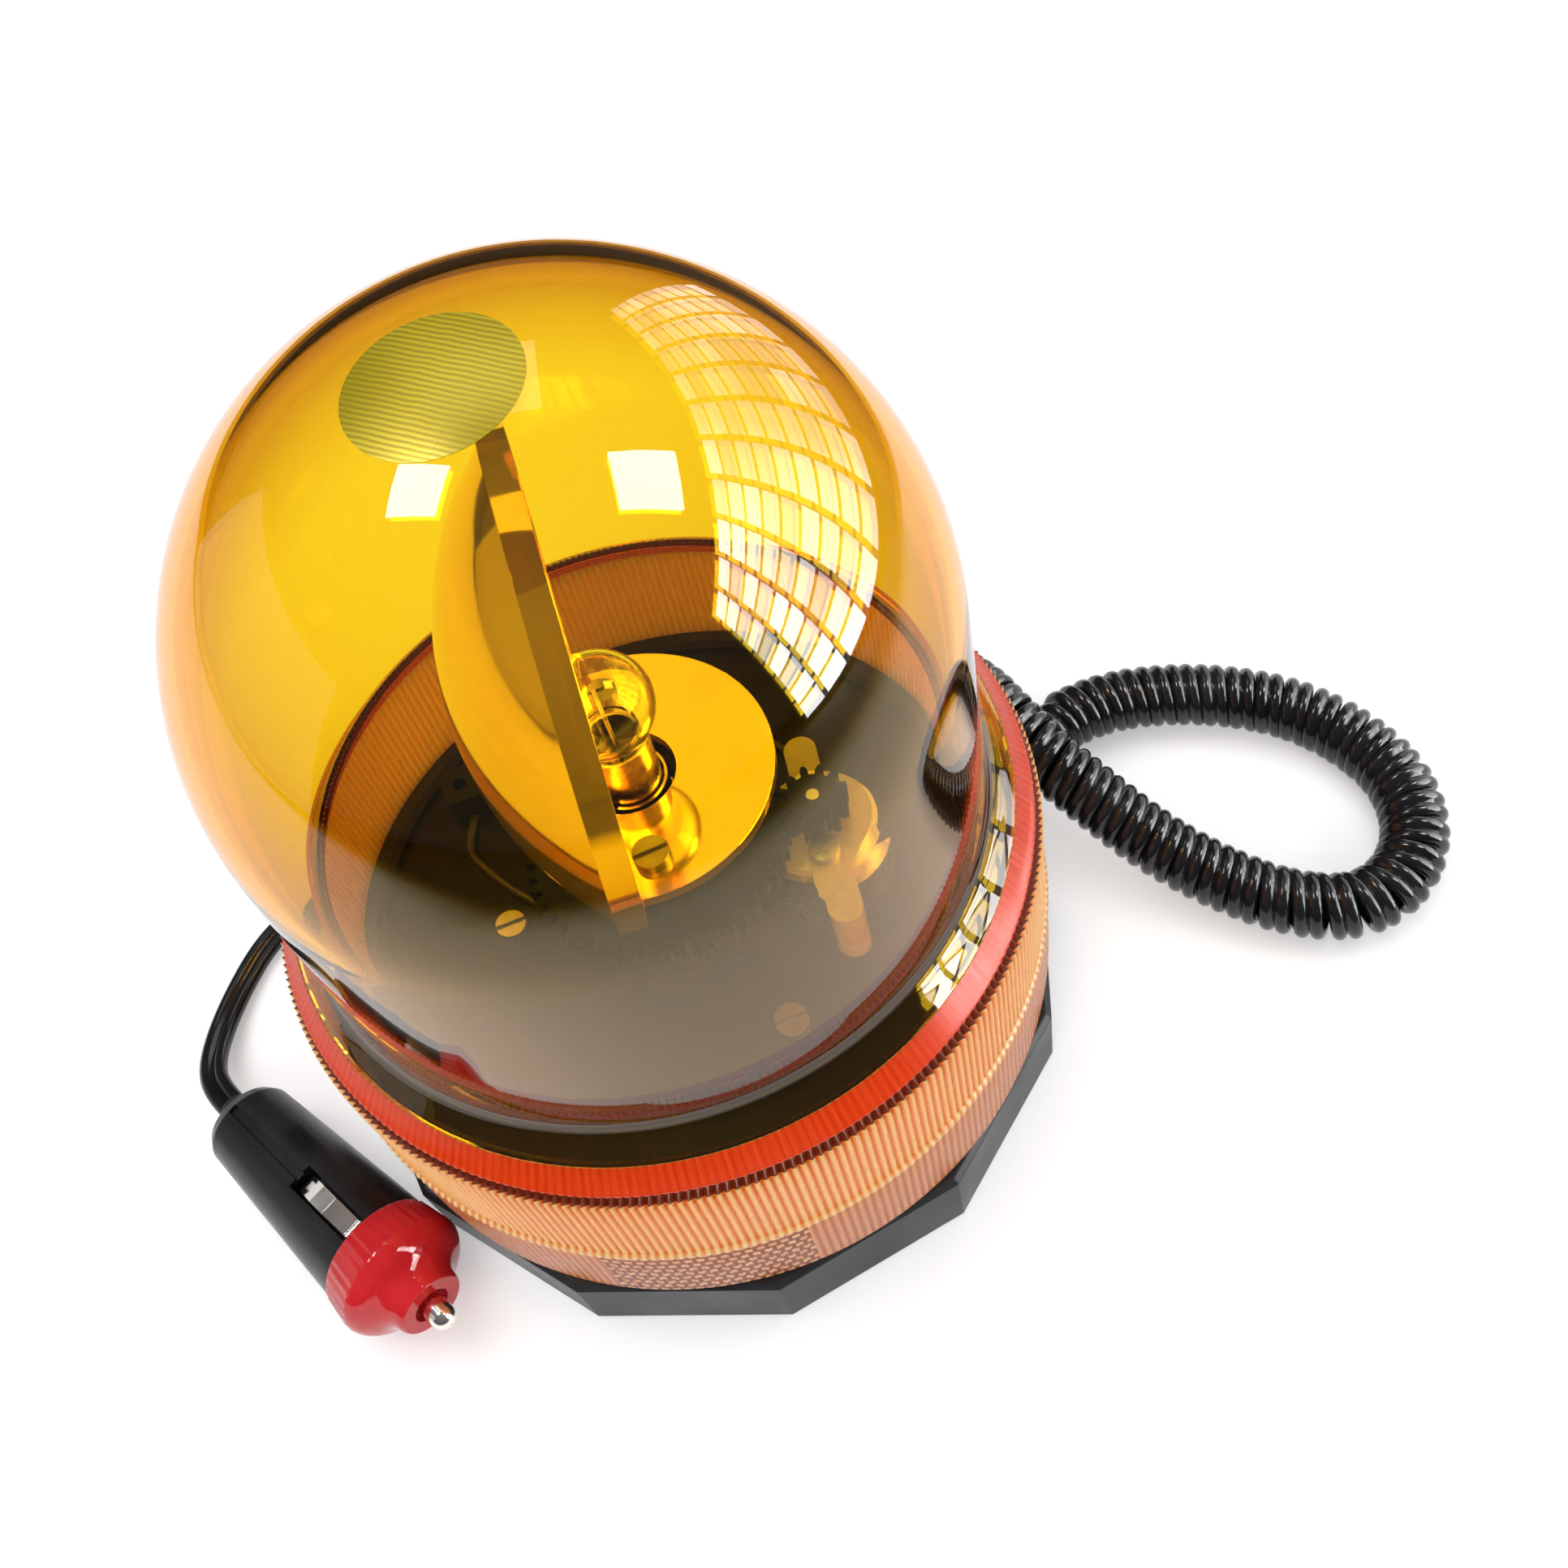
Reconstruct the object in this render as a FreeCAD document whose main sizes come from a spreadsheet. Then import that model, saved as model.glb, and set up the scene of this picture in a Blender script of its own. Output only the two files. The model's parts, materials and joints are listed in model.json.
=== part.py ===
import FreeCAD, Part
import math
import os
import re
import Sketcher

# Magnetic warning light with a curly supply cord and a lighter plug.
# Millimetres, +Z up, the origin on the floor under the middle of the light.
# The light stands on a magnet; the cord leaves the foot on the +X side and the plug lies at -X, -Y.

# Each size has a number of its own, or a formula where other pieces set it.
SIZES = [
    ("cut_over", 1.0, "how far a cut runs past a face"),
    ("run_gap", 0.06, "running fit on spindle, shaft, thread and tip"),
    # Magnet and foot
    ("pad_thick", 0.9, "rubber pad under the magnet"),
    ("pad_margin", 0.1, "pad beyond the pot"),
    ("pot_radius", 36.9, "steel pot round the magnet"),
    ("pot_height", 7.5, "height of the pot"),
    ("pot_wall", 2.0, "wall of the pot"),
    ("magnet_gap", 0.9, "space between magnet ring and pot"),
    ("pole_radius", 12.0, "steel pole in the middle of the magnet"),
    ("pole_gap", 2.0, "space between pole and magnet ring"),
    ("pad_radius", "=pot_radius + pad_margin", "rubber pad"),
    ("ring_radius", "=pot_radius - pot_wall - magnet_gap", "outside of the magnet ring"),
    ("ring_bore", "=pole_radius + pole_gap", "inside of the magnet ring"),
    ("pocket_gap", 0.1, "play of the pad in the foot"),
    ("pocket_wall", 2.4, "wall round the magnet's pocket"),
    ("hollow_top", "=pad_thick + pot_height", "top of the hollows under the foot"),
    ("floor_thick", 2.6, "floor over the magnet"),
    ("floor_top", "=hollow_top + floor_thick", "floor of the space under the deck"),
    ("foot_low", 0.3, "underside of the foot, just clear of the floor"),
    ("foot_step", 2.8, "top of the foot over that floor"),
    ("foot_top", "=floor_top + foot_step", "top of the foot"),
    ("neck_radius", 52.4, "outside of the neck that the lens turns on"),
    ("neck_wall", 2.4, "wall of the neck"),
    ("neck_bore", "=neck_radius - neck_wall", "inside of the neck"),
    ("foot_ledge", 2.8, "foot beyond the neck"),
    ("foot_flat", "=neck_radius + foot_ledge", "centre to flat of the many-sided foot"),
    ("foot_sides", 12, "sides of the foot"),
    ("foot_turn", 21.35, "direction of the foot's first corner, degrees"),
    ("foot_bevel", 0.8, "bevel round the foot's top edge"),
    ("foot_wall", 3.0, "wall left between the foot's side and its hollow"),
    ("stay_thick", 2.0, "ribs across the foot's hollow"),
    # Bayonet of the lens
    ("gasket_thick", 1.0, "soft ring between foot and lens"),
    ("gasket_margin", 0.6, "soft ring beyond the skirt's bore"),
    ("skirt_low", "=foot_top + gasket_thick", "lower edge of the skirt"),
    ("lug_count", 3, "bayonet lugs on the neck and in the lens"),
    ("lug_span", 30.0, "length of a lug round the neck, degrees"),
    ("lug_turn", -121.5, "direction where the first lug starts, degrees"),
    ("lug_depth", 0.9, "how far a lug stands out"),
    ("lug_thick", 3.0, "height of a lug"),
    ("lug_gap", 0.4, "play between a lens lug and the neck lug over it"),
    ("lug_clear", 2.4, "lens lug over the skirt's lower edge"),
    ("lug_root", 0.5, "how deep a lens lug is rooted in the skirt"),
    ("turn_gap", 0.3, "play between lugs and walls as the lens turns"),
    ("lens_lug_low", "=skirt_low + lug_clear", "underside of a lens lug"),
    ("lug_low", "=lens_lug_low + lug_thick + lug_gap", "underside of a neck lug"),
    ("neck_over", 5.4, "neck above its lugs"),
    ("neck_top", "=lug_low + lug_thick + neck_over", "top of the neck"),
    ("skirt_bore", "=neck_radius + lug_depth + turn_gap", "inside of the skirt"),
    # Deck and small screws
    ("deck_drop", 0.4, "deck below the neck's top"),
    ("deck_thick", 2.6, "thickness of the deck"),
    ("deck_gap", 0.4, "play round the deck"),
    ("deck_lip_wall", 1.6, "lip round the deck"),
    ("deck_lip_height", 1.2, "height of that lip"),
    ("deck_top", "=neck_top - deck_drop", "top of the deck"),
    ("deck_low", "=deck_top - deck_thick", "underside of the deck"),
    ("deck_radius", "=neck_bore - deck_gap", "edge of the deck"),
    ("post_radius", 3.6, "posts under the deck"),
    ("post_root", 0.5, "how deep a post is rooted in the floor"),
    ("post_turn", -73.0, "direction of the first post, degrees"),
    ("pot_screw_turn", 20.0, "direction of the first magnet screw, degrees"),
    ("screw_radius", 1.25, "thread of the small screws"),
    ("screw_head", 2.5, "head of the small screws"),
    ("screw_head_height", 1.6, "height of those heads"),
    ("screw_length", 8.0, "length of a small screw under its head"),
    ("drive_slot", 0.7, "slot across a screw head"),
    # Radii of bulb, holder and spindle, from the inside out
    ("cap_radius", 4.6, "brass cap of the bulb"),
    ("cap_wall", 0.4, "brass of the cap"),
    ("bulb_gap", 0.3, "play of the cap in its holder"),
    ("holder_wall", 0.4, "brass of the lamp holder"),
    ("pin_radius", 1.0, "bayonet pin of the bulb"),
    ("pin_length", 0.9, "how far a pin stands out"),
    ("pin_root", 0.2, "how deep a pin is rooted in the cap"),
    ("mouth_gap", 0.45, "play of the pins in the spindle's mouth"),
    ("spindle_wall", 1.25, "wall of the spindle at its mouth"),
    ("seat_step", 1.4, "collar beyond the spindle"),
    ("head_gap", 0.1, "screw heads to the collar"),
    ("flange_margin", 2.4, "spindle's foot beyond its screws"),
    ("holder_bore", "=cap_radius + bulb_gap", "bore of the lamp holder"),
    ("spindle_bore", "=holder_bore + holder_wall", "bore of the spindle, filled by the holder"),
    ("pin_end", "=cap_radius + pin_length", "end of a pin from the axis"),
    ("spindle_mouth", "=pin_end + mouth_gap", "wider mouth of the spindle"),
    ("spindle_radius", "=spindle_mouth + spindle_wall", "spindle that the reflector turns round"),
    ("seat_radius", "=spindle_radius + seat_step", "collar that carries the rotor"),
    ("flange_screw_offset", "=seat_radius + screw_head + head_gap", "screws in the spindle's foot"),
    ("flange_radius", "=flange_screw_offset + flange_margin", "foot of the spindle on the deck"),
    ("post_step", 13.2, "posts beyond the spindle's foot"),
    ("post_offset", "=flange_radius + post_step", "posts to the axis"),
    # Rotor, from the deck up
    ("flange_thick", 2.4, "foot of the spindle"),
    ("seat_height", 8.8, "collar over that foot"),
    ("washer_thick", 0.6, "thrust washer on the collar"),
    ("washer_margin", 0.6, "washer beyond the collar"),
    ("gear_clear", 1.2, "gear teeth over the washer"),
    ("gear_face", 4.4, "width of the gear teeth"),
    ("hub_neck", 10.0, "hub between teeth and clip"),
    ("clip_play", 0.2, "play under the clip"),
    ("clip_thick", 0.8, "retaining clip over the rotor"),
    ("clip_wall", 1.8, "clip beyond the spindle"),
    ("clip_opening", 70.0, "opening of the clip, degrees"),
    ("spindle_over", 3.4, "spindle above the clip"),
    ("shelf_gap", 1.6, "shelf over the spindle"),
    ("shelf_thick", 1.8, "shelf under the bulb"),
    ("cup_gap", 0.8, "play round the clip"),
    ("hub_wall", 2.2, "wall of the hub's cup"),
    ("ear_step", 2.5, "screw ears beyond the hub"),
    ("ear_radius", 2.9, "radius of an ear"),
    ("ear_height", 12.0, "height of an ear"),
    ("flange_top", "=deck_top + flange_thick", "top of the spindle's foot"),
    ("seat_top", "=flange_top + seat_height", "top of the collar"),
    ("rotor_low", "=seat_top + washer_thick", "underside of the rotor"),
    ("gear_low", "=rotor_low + gear_clear", "underside of the teeth"),
    ("gear_high", "=gear_low + gear_face", "top of the teeth"),
    ("cup_low", "=gear_high + hub_neck", "floor of the hub's cup"),
    ("clip_low", "=cup_low + clip_play", "underside of the clip"),
    ("clip_radius", "=spindle_radius + clip_wall", "outside of the clip"),
    ("spindle_top", "=clip_low + clip_thick + spindle_over", "top of the spindle"),
    ("hub_top", "=spindle_top + shelf_gap", "top of the hub, under the shelf"),
    ("shelf_top", "=hub_top + shelf_thick", "top of the shelf"),
    ("cup_radius", "=clip_radius + cup_gap", "cup in the hub for the clip"),
    ("hub_radius", "=cup_radius + hub_wall", "rotor hub over the spindle"),
    ("ear_offset", "=hub_radius + ear_step", "ears to the axis"),
    ("ear_low", "=hub_top - ear_height", "underside of the ears"),
    # Gears and motor
    ("gear_module", 0.8, "tooth size of the drive"),
    ("gear_teeth", 48, "teeth of the rotor gear"),
    ("pinion_teeth", 12, "teeth of the motor pinion"),
    ("tooth_play", 0.16, "backlash of the gears"),
    ("pinion_over", 0.3, "pinion beyond the gear's faces"),
    ("motor_turn", -10.0, "direction of the motor, degrees"),
    ("motor_gap", 0.4, "motor to the spindle's foot"),
    ("motor_hole_gap", 0.3, "play of the motor in the deck"),
    ("motor_boss", 3.0, "bearing boss of the motor"),
    ("motor_boss_height", 1.6, "height of the boss"),
    ("boss_gap", 0.1, "play of the boss in the mount"),
    ("bearing_depth", 8.0, "bearing hole of the motor"),
    ("terminal_gap", 0.2, "terminals over the floor"),
    ("terminal_height", 1.4, "length of the terminals"),
    ("terminal_width", 2.2, "width of a terminal"),
    ("terminal_thick", 0.5, "thickness of a terminal"),
    ("terminal_side", 5.0, "terminals to the motor's axis"),
    ("end_cap_height", 2.0, "plastic end cap of the motor"),
    ("end_cap_inset", 1.0, "end cap inside the can's edge"),
    ("shaft_radius", 1.0, "motor shaft"),
    ("shaft_depth", 7.0, "shaft inside the motor"),
    ("shaft_over", 0.3, "shaft beyond the pinion"),
    ("mount_thick", 2.0, "plate over the motor"),
    ("mount_gap", 0.7, "pinion over the plate's screws"),
    ("mount_leg", 2.6, "legs of that plate"),
    ("mount_leg_gap", 3.6, "legs to the can"),
    ("mount_screw_inset", 4.0, "motor screws to the can's edge"),
    ("motor_offset", "=gear_module * (gear_teeth + pinion_teeth) / 2", "motor shaft to the axis"),
    ("motor_radius", "=motor_offset - flange_radius - motor_gap", "motor can"),
    ("motor_top", "=gear_low - pinion_over - mount_gap - screw_head_height - mount_thick", "top of the can"),
    ("motor_cap_low", "=floor_top + terminal_gap + terminal_height", "underside of the end cap"),
    ("motor_low", "=motor_cap_low + end_cap_height", "underside of the can"),
    ("shaft_top", "=gear_high + pinion_over + shaft_over", "end of the shaft"),
    ("mount_leg_offset", "=motor_radius + mount_leg_gap", "legs to the motor's axis"),
    ("mount_screw_offset", "=motor_radius - mount_screw_inset", "motor screws to its axis"),
    # Reflector
    ("dish_rim", 30.5, "radius of the reflector's mouth"),
    ("dish_depth", 13.4, "depth of the reflector"),
    ("dish_wall", 1.3, "wall of the reflector"),
    ("dish_height", 21.8, "reflector's middle over the shelf"),
    ("dish_setback", 3.0, "mouth of the reflector behind the axis"),
    ("dish_lean", 4.5, "forward lean of the reflector, degrees"),
    ("dish_turn", -5.0, "direction that the reflector faces, degrees"),
    ("lip_depth", 3.6, "straight lip round the mouth"),
    ("lip_wall", 1.6, "thickness of that lip"),
    ("shelf_radius", 20.4, "half-round shelf under the bulb"),
    ("notch_gap", 1.5, "notch in the shelf round the lamp holder"),
    ("dish_middle", "=shelf_top + dish_height", "height of the reflector's middle"),
    ("shelf_notch", "=spindle_bore + notch_gap", "notch in the shelf"),
    ("dish_ball", "=(dish_rim ^ 2 + dish_depth ^ 2) / (2 * dish_depth)", "radius of the dish"),
    # Lamp holder and bulb, from the spindle's top
    ("mouth_depth", 8.4, "depth of the spindle's mouth"),
    ("holder_over", 2.2, "holder above the spindle"),
    ("holder_length", 16.6, "length of the holder"),
    ("insulator_thick", 2.0, "insulator in the holder"),
    ("insulator_rim", 1.0, "rim of the insulator round the spring"),
    ("spring_gap", 0.3, "play round the spring"),
    ("spring_radius", 3.4, "spring under the centre contact"),
    ("spring_wall", 0.6, "wire of the springs"),
    ("spring_length", 3.0, "length of that spring"),
    ("contact_flange", 1.0, "shoulder of the centre contact"),
    ("contact_gap", 0.4, "play round the centre contact"),
    ("contact_height", 2.4, "height of the centre contact"),
    ("contact_radius", 1.6, "tip of the centre contact"),
    ("solder_height", 0.8, "solder point under the bulb"),
    ("solder_flare", 0.3, "solder point at its root"),
    ("bulb_base_height", 2.4, "base in the bulb's cap"),
    ("cap_length", 17.6, "length of the cap"),
    ("pin_height", 3.4, "pins over the cap's end"),
    ("pin_slot", 2.4, "width of the bayonet slots in the holder"),
    ("pin_sweep", 40.0, "turn of the bulb in its slots, degrees"),
    ("globe_radius", 7.3, "glass globe"),
    ("globe_gap", 0.2, "globe over the cap"),
    ("glass_wall", 0.6, "glass of the globe"),
    ("stem_height", 9.0, "glass stem in the bulb"),
    ("stem_wire", 0.3, "wires of the filament"),
    ("stem_side", 2.2, "wires to the axis"),
    ("spindle_mouth_low", "=spindle_top - mouth_depth", "where the mouth starts"),
    ("holder_top", "=spindle_top + holder_over", "mouth of the holder"),
    ("holder_low", "=holder_top - holder_length", "underside of the holder"),
    ("spring_low", "=holder_low + insulator_thick", "seat of the spring"),
    ("contact_low", "=spring_low + spring_length", "underside of the centre contact"),
    ("contact_top", "=contact_low + contact_height", "tip of the centre contact"),
    ("cap_low", "=contact_top + solder_height", "end of the cap"),
    ("cap_top", "=cap_low + cap_length", "top of the cap"),
    ("pin_middle", "=cap_low + pin_height", "height of the pins"),
    ("globe_middle", "=cap_top + globe_radius + globe_gap", "middle of the globe"),
    ("glass_low", "=cap_low + bulb_base_height", "end of the glass in the cap"),
    ("glass_neck", "=cap_radius - cap_wall", "glass in the cap"),
    # Lens, from the skirt up
    ("skirt_wall", 1.6, "wall of the skirt"),
    ("band_step", 0.4, "lower band beyond the skirt"),
    ("band_height", 15.2, "height of the lower band"),
    ("skirt_height", 34.8, "height of the skirt"),
    ("rim_inset", 1.2, "edge of the shoulder inside the skirt"),
    ("rim_edge", 1.2, "height of that edge"),
    ("shoulder_width", 3.8, "sloping shoulder"),
    ("shoulder_height", 4.5, "height of the shoulder"),
    ("flare_width", 1.5, "hollow rounding over the shoulder, lower half"),
    ("flare_height", 1.2, "height of that half"),
    ("wall_inset", 0.7, "upper half of the rounding"),
    ("wall_step", 2.1, "height of that half"),
    ("wall_draft", 0.4, "draft of the dome's wall"),
    ("wall_height", 31.8, "height of the dome's wall"),
    ("lens_wall", 1.9, "wall of the dome"),
    ("skirt_radius", "=skirt_bore + skirt_wall", "outside of the ribbed skirt"),
    ("band_radius", "=skirt_radius + band_step", "lower band of the skirt"),
    ("band_top", "=skirt_low + band_height", "top of the lower band"),
    ("skirt_high", "=skirt_low + skirt_height", "top of the skirt"),
    ("rim_radius", "=skirt_radius - rim_inset", "edge of the shoulder"),
    ("rim_high", "=skirt_high + rim_edge", "height of that edge"),
    ("shoulder_radius", "=rim_radius - shoulder_width", "top of the shoulder"),
    ("shoulder_high", "=rim_high + shoulder_height", "height there"),
    ("flare_radius", "=shoulder_radius - flare_width", "half-way round the flare"),
    ("flare_high", "=shoulder_high + flare_height", "height half-way round the flare"),
    ("wall_radius", "=flare_radius - wall_inset", "foot of the dome's wall"),
    ("wall_low", "=flare_high + wall_step", "height of that foot"),
    ("dome_radius", "=wall_radius - wall_draft", "outside of the dome"),
    ("dome_middle", "=wall_low + wall_height", "middle of the dome"),
    # Leads on the deck
    ("wire_radius", 0.75, "inner leads"),
    ("duct_radius", 1.8, "holes for the leads"),
    ("duct_x", 44.0, "hole in the floor"),
    ("duct_y", 14.0, "hole in the floor"),
    ("block_x", -21.0, "terminal block"),
    ("block_y", 32.5, "terminal block"),
    ("block_length", 16.0, "terminal block"),
    ("block_width", 7.0, "terminal block"),
    ("block_height", 6.0, "terminal block"),
    ("block_pitch", 10.0, "between the block's screw holes"),
    ("block_hole", 1.2, "screw hole of the block"),
    ("block_floor", 2.0, "floor under those holes"),
    # Cord and gland
    ("gland_height", 6.8, "height of the cord's way out"),
    ("gland_side", 8.0, "gland to the middle of its flat"),
    ("gland_flat", 6.35, "direction that flat faces, degrees"),
    ("gland_length", 7.0, "how far the gland stands out"),
    ("gland_root", 4.2, "gland at the foot"),
    ("gland_end", 2.7, "gland at its end"),
    ("gland_neck", 3.3, "gland inside the wall"),
    ("cord_radius", 1.7, "round lead with the section of the twin cord"),
    ("coil_radius", 5.5, "outside of the curly cord"),
    # Plug, along its axis from back to tip
    ("plug_side", 13.96, "back of the plug beyond the foot"),
    ("plug_way", 1.2, "how much the plug moves out for each millimetre of foot"),
    ("plug_x", "=-(foot_flat * plug_way + plug_side)", "back of the plug"),
    ("plug_y", 9.7, "back of the plug"),
    ("plug_heading", -63.0, "direction of the plug, degrees"),
    ("plug_slope", 3.2, "slope of the plug as it rests on its nose, degrees"),
    ("plug_run", 5.0, "straight cord behind the plug"),
    ("floor_gap", 0.03, "nose ring to the floor"),
    ("boot_length", 3.0, "soft boot at the cord"),
    ("boot_end", 2.5, "boot at the cord"),
    ("boot_root", 3.6, "boot at the plug body"),
    ("boot_spigot", 2.4, "boot inside the body"),
    ("boot_hold", 3.0, "length of that spigot"),
    ("body_length", 36.0, "length of the plug body"),
    ("back_radius", 7.2, "plug body at its back"),
    ("back_round", 2.4, "rounding of the back"),
    ("front_radius", 9.3, "plug body at the nose"),
    ("spigot_step", 1.7, "threaded end inside the body's edge"),
    ("spigot_length", 5.0, "length of the threaded end"),
    ("fuse_radius", 3.0, "fuse in the plug"),
    ("fuse_gap", 0.6, "play of the fuse"),
    ("fuse_length", 30.0, "length of the fuse"),
    ("fuse_cap", 5.0, "metal cap of the fuse"),
    ("fuse_step", 0.2, "fuse glass inside its caps"),
    ("bore_wall", 1.1, "wall between bore and side slots"),
    ("slot_width", 4.0, "slots for the side contacts"),
    ("slot_inset", 21.5, "slots to the body's back"),
    ("seam_width", 1.4, "crease along the body behind the slots"),
    ("seam_depth", 0.7, "depth of that crease"),
    ("ring_step", 0.3, "back of the nose ring beyond the body"),
    ("ring_flare", 0.8, "front of the nose ring beyond its back"),
    ("ring_length", 6.0, "ribbed nose ring"),
    ("nose_sides", 30, "flats of the nose ring"),
    ("face_step", 0.4, "nose in front of the ring"),
    ("round_step", 1.2, "rounding of the nose"),
    ("round_length", 2.2, "length of that rounding"),
    ("slope_length", 2.8, "slope of the nose"),
    ("nose_tip_radius", 5.8, "narrow end of that slope"),
    ("nose_end_radius", 5.0, "short end of the nose"),
    ("nose_end_length", 2.0, "length of that end"),
    ("nose_lip", 3.8, "nose in front of the tip's collar"),
    ("recess_gap", 0.9, "recess in the nose round the tip"),
    ("recess_depth", 1.2, "depth of that recess"),
    ("room_gap", 0.7, "space round the tip's collar"),
    ("thread_gap", 0.2, "nose to the end of the thread"),
    ("tip_radius", 2.0, "centre contact of the plug"),
    ("tip_out", 4.6, "tip beyond the nose"),
    ("tip_gap", 1.2, "back of the tip to the threaded end"),
    ("collar_radius", 3.4, "collar that keeps the tip in"),
    ("collar_thick", 1.6, "thickness of that collar"),
    ("collar_play", 0.2, "collar to the nose"),
    ("leaf_width", 3.0, "side contact"),
    ("leaf_thick", 0.5, "thickness of a side contact"),
    ("leaf_inset", 0.8, "held end to the body's front"),
    ("leaf_root_height", 2.7, "held end over its slot"),
    ("leaf_free_height", 2.5, "free end over its slot"),
    ("leaf_proud", 0.15, "crest beyond the body's widest part"),
    ("leaf_crest_inset", 7.5, "crest to the body's front"),
    ("leaf_crest_length", 3.0, "flat of the crest"),
    ("leaf_play", 1.2, "free end to the end of its slot"),
    ("eye_radius", 0.55, "rolled eye at the held end"),
    ("eye_gap", 0.1, "play round that eye"),
    ("body_front", "=boot_length + body_length", "front of the plug body"),
    ("bore_back", "=boot_length + boot_hold", "floor of the fuse bore"),
    ("spigot_radius", "=front_radius - spigot_step", "threaded end"),
    ("spigot_front", "=body_front + spigot_length", "front of the threaded end"),
    ("plug_bore", "=fuse_radius + fuse_gap", "bore for fuse and spring"),
    ("slot_floor", "=plug_bore + bore_wall", "floor of the slots from the axis"),
    ("slot_back", "=boot_length + slot_inset", "back end of the slots"),
    ("body_shoulder", "=boot_length + back_round", "where the body's long taper starts"),
    ("nose_back_radius", "=front_radius + ring_step", "ribbed nose ring at its back"),
    ("nose_radius", "=nose_back_radius + ring_flare", "ribbed nose ring at its front"),
    ("nose_edge", "=body_front + ring_length", "front of the ring"),
    ("nose_face_radius", "=nose_radius - face_step", "nose in front of the ring"),
    ("nose_round_radius", "=nose_face_radius - round_step", "where the slope starts"),
    ("nose_round_front", "=nose_edge + round_length", "where the slope starts"),
    ("nose_slope_front", "=nose_round_front + slope_length", "front of the slope"),
    ("nose_front", "=nose_slope_front + nose_end_length", "front of the nose"),
    ("room_front", "=nose_front - nose_lip", "front of the collar's space"),
    ("tip_back", "=spigot_front + tip_gap", "back of the tip"),
    ("tip_front", "=nose_front + tip_out", "end of the tip"),
    ("fuse_back", "=tip_back - fuse_length", "back of the fuse"),
    ("leaf_front", "=body_front - leaf_inset", "held end of a side contact"),
    ("leaf_root", "=slot_floor + leaf_root_height", "held end from the axis"),
    ("leaf_free", "=slot_floor + leaf_free_height", "free end from the axis"),
    ("leaf_crest", "=front_radius + leaf_proud", "crest from the axis"),
    ("leaf_crest_at", "=body_front - leaf_crest_inset", "place of the crest"),
    ("leaf_back", "=slot_back + leaf_play", "free end of a side contact"),
    ("nose_rest", "=nose_radius * cos(plug_slope) + floor_gap", "axis over the floor at the nose ring"),
    ("plug_z", "=nose_rest - nose_edge * sin(plug_slope)", "axis over the floor at the back"),
]

# Routes of the curly cord, its tail to the plug, and the two leads on the deck.
COIL_ROUTE = [
    (67.5, 15.55, 6.0), (74.0, 17.4, 5.7), (83.0, 17.2, 5.7), (93.0, 13.6, 5.7), (102.1, 8.1, 5.7),
    (109.6, 1.0, 5.7), (114.8, -8.2, 5.7), (117.0, -18.6, 5.7), (113.9, -28.8, 5.7), (106.6, -35.4, 5.7),
    (97.6, -36.6, 5.7), (88.6, -31.2, 5.8), (81.0, -22.6, 6.8), (74.6, -13.8, 9.2), (69.4, -4.6, 12.8),
    (64.8, 4.0, 16.4), (61.9, 13.4, 18.2), (60.4, 23.6, 17.0), (56.2, 35.2, 12.4), (47.4, 47.6, 7.6),
    (34.4, 57.8, 5.8), (18.6, 64.2, 5.7), (1.6, 66.8, 5.7), (-14.8, 65.4, 5.7), (-28.6, 60.4, 5.7),
    (-37.5, 55.2, 5.7),
]
TAIL_ROUTE = [
    (-37.5, 55.2, 5.7), (-45.4, 51.2, 4.4), (-54.2, 48.6, 2.6), (-62.8, 46.6, 1.9), (-71.0, 42.2, 1.9),
    (-77.2, 35.4, 1.9), (-81.6, 27.8, 3.0), (-83.4, 20.4, 5.4),
]
LIVE_ROUTE = [(-26.0, 29.0), (-29.0, 22.6), (-24.6, 13.0), (-18.0, 4.0), (-12.2, 2.6)]
RETURN_ROUTE = [
    (-16.0, 29.0), (-12.0, 25.6), (-2.0, 24.4), (10.0, 25.0), (20.6, 24.0), (25.4, 17.0), (25.4, 11.2),
]

doc = FreeCAD.newDocument("warning_light")
sheet = doc.addObject("Spreadsheet::Sheet", "Size")
for row, (alias, value, note) in enumerate(SIZES, start=1):
    sheet.set(f"A{row}", note)
    sheet.set(f"B{row}", str(value))
    sheet.setAlias(f"B{row}", alias)
doc.recompute()

ALIASES = re.compile(r"\b(" + "|".join(alias for alias, value, note in SIZES) + r")\b")
MIDDLE = ("0", "0", "0")
ALONG_X = FreeCAD.Vector(1, 0, 0)
ALONG_Y = FreeCAD.Vector(0, 1, 0)
ALONG_Z = FreeCAD.Vector(0, 0, 1)
ORIGIN = FreeCAD.Vector(0, 0, 0)
ARC_SHARE = 0.45
PRESSURE_ANGLE = math.radians(20)
TOOTH_TIP = 0.85
TOOTH_ROOT = 1.25
TOOTH_FOOT = 0.15
nodes = []


def cell(expression):
    """The expression with the sheet's name put before each of its sizes."""
    return ALIASES.sub(r"Size.\1", expression)


def size(expression):
    """The number that an expression of the sheet's sizes comes to now."""
    return float(sheet.evalExpression(cell(expression)))


def solid(kind, at=MIDDLE, turn="0", **sizes):
    """A primitive whose sizes, place and turn about Z follow the sheet."""
    piece = doc.addObject("Part::" + kind, kind)
    for name, expression in sizes.items():
        piece.setExpression(name, cell(expression))
    for axis, expression in zip("xyz", at):
        piece.setExpression("Placement.Base." + axis, cell(expression))
    piece.setExpression("Placement.Rotation.Angle", cell(turn))
    return piece


def rod(radius, low, high, x="0", y="0"):
    """An upright cylinder between two heights."""
    return solid("Cylinder", at=(x, y, low), Radius=radius, Height=f"({high}) - ({low})")


def drill(radius, low, high, x="0", y="0"):
    """A cylinder to cut with, running past both heights."""
    return rod(radius, f"({low}) - cut_over", f"({high}) + cut_over", x, y)


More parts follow.
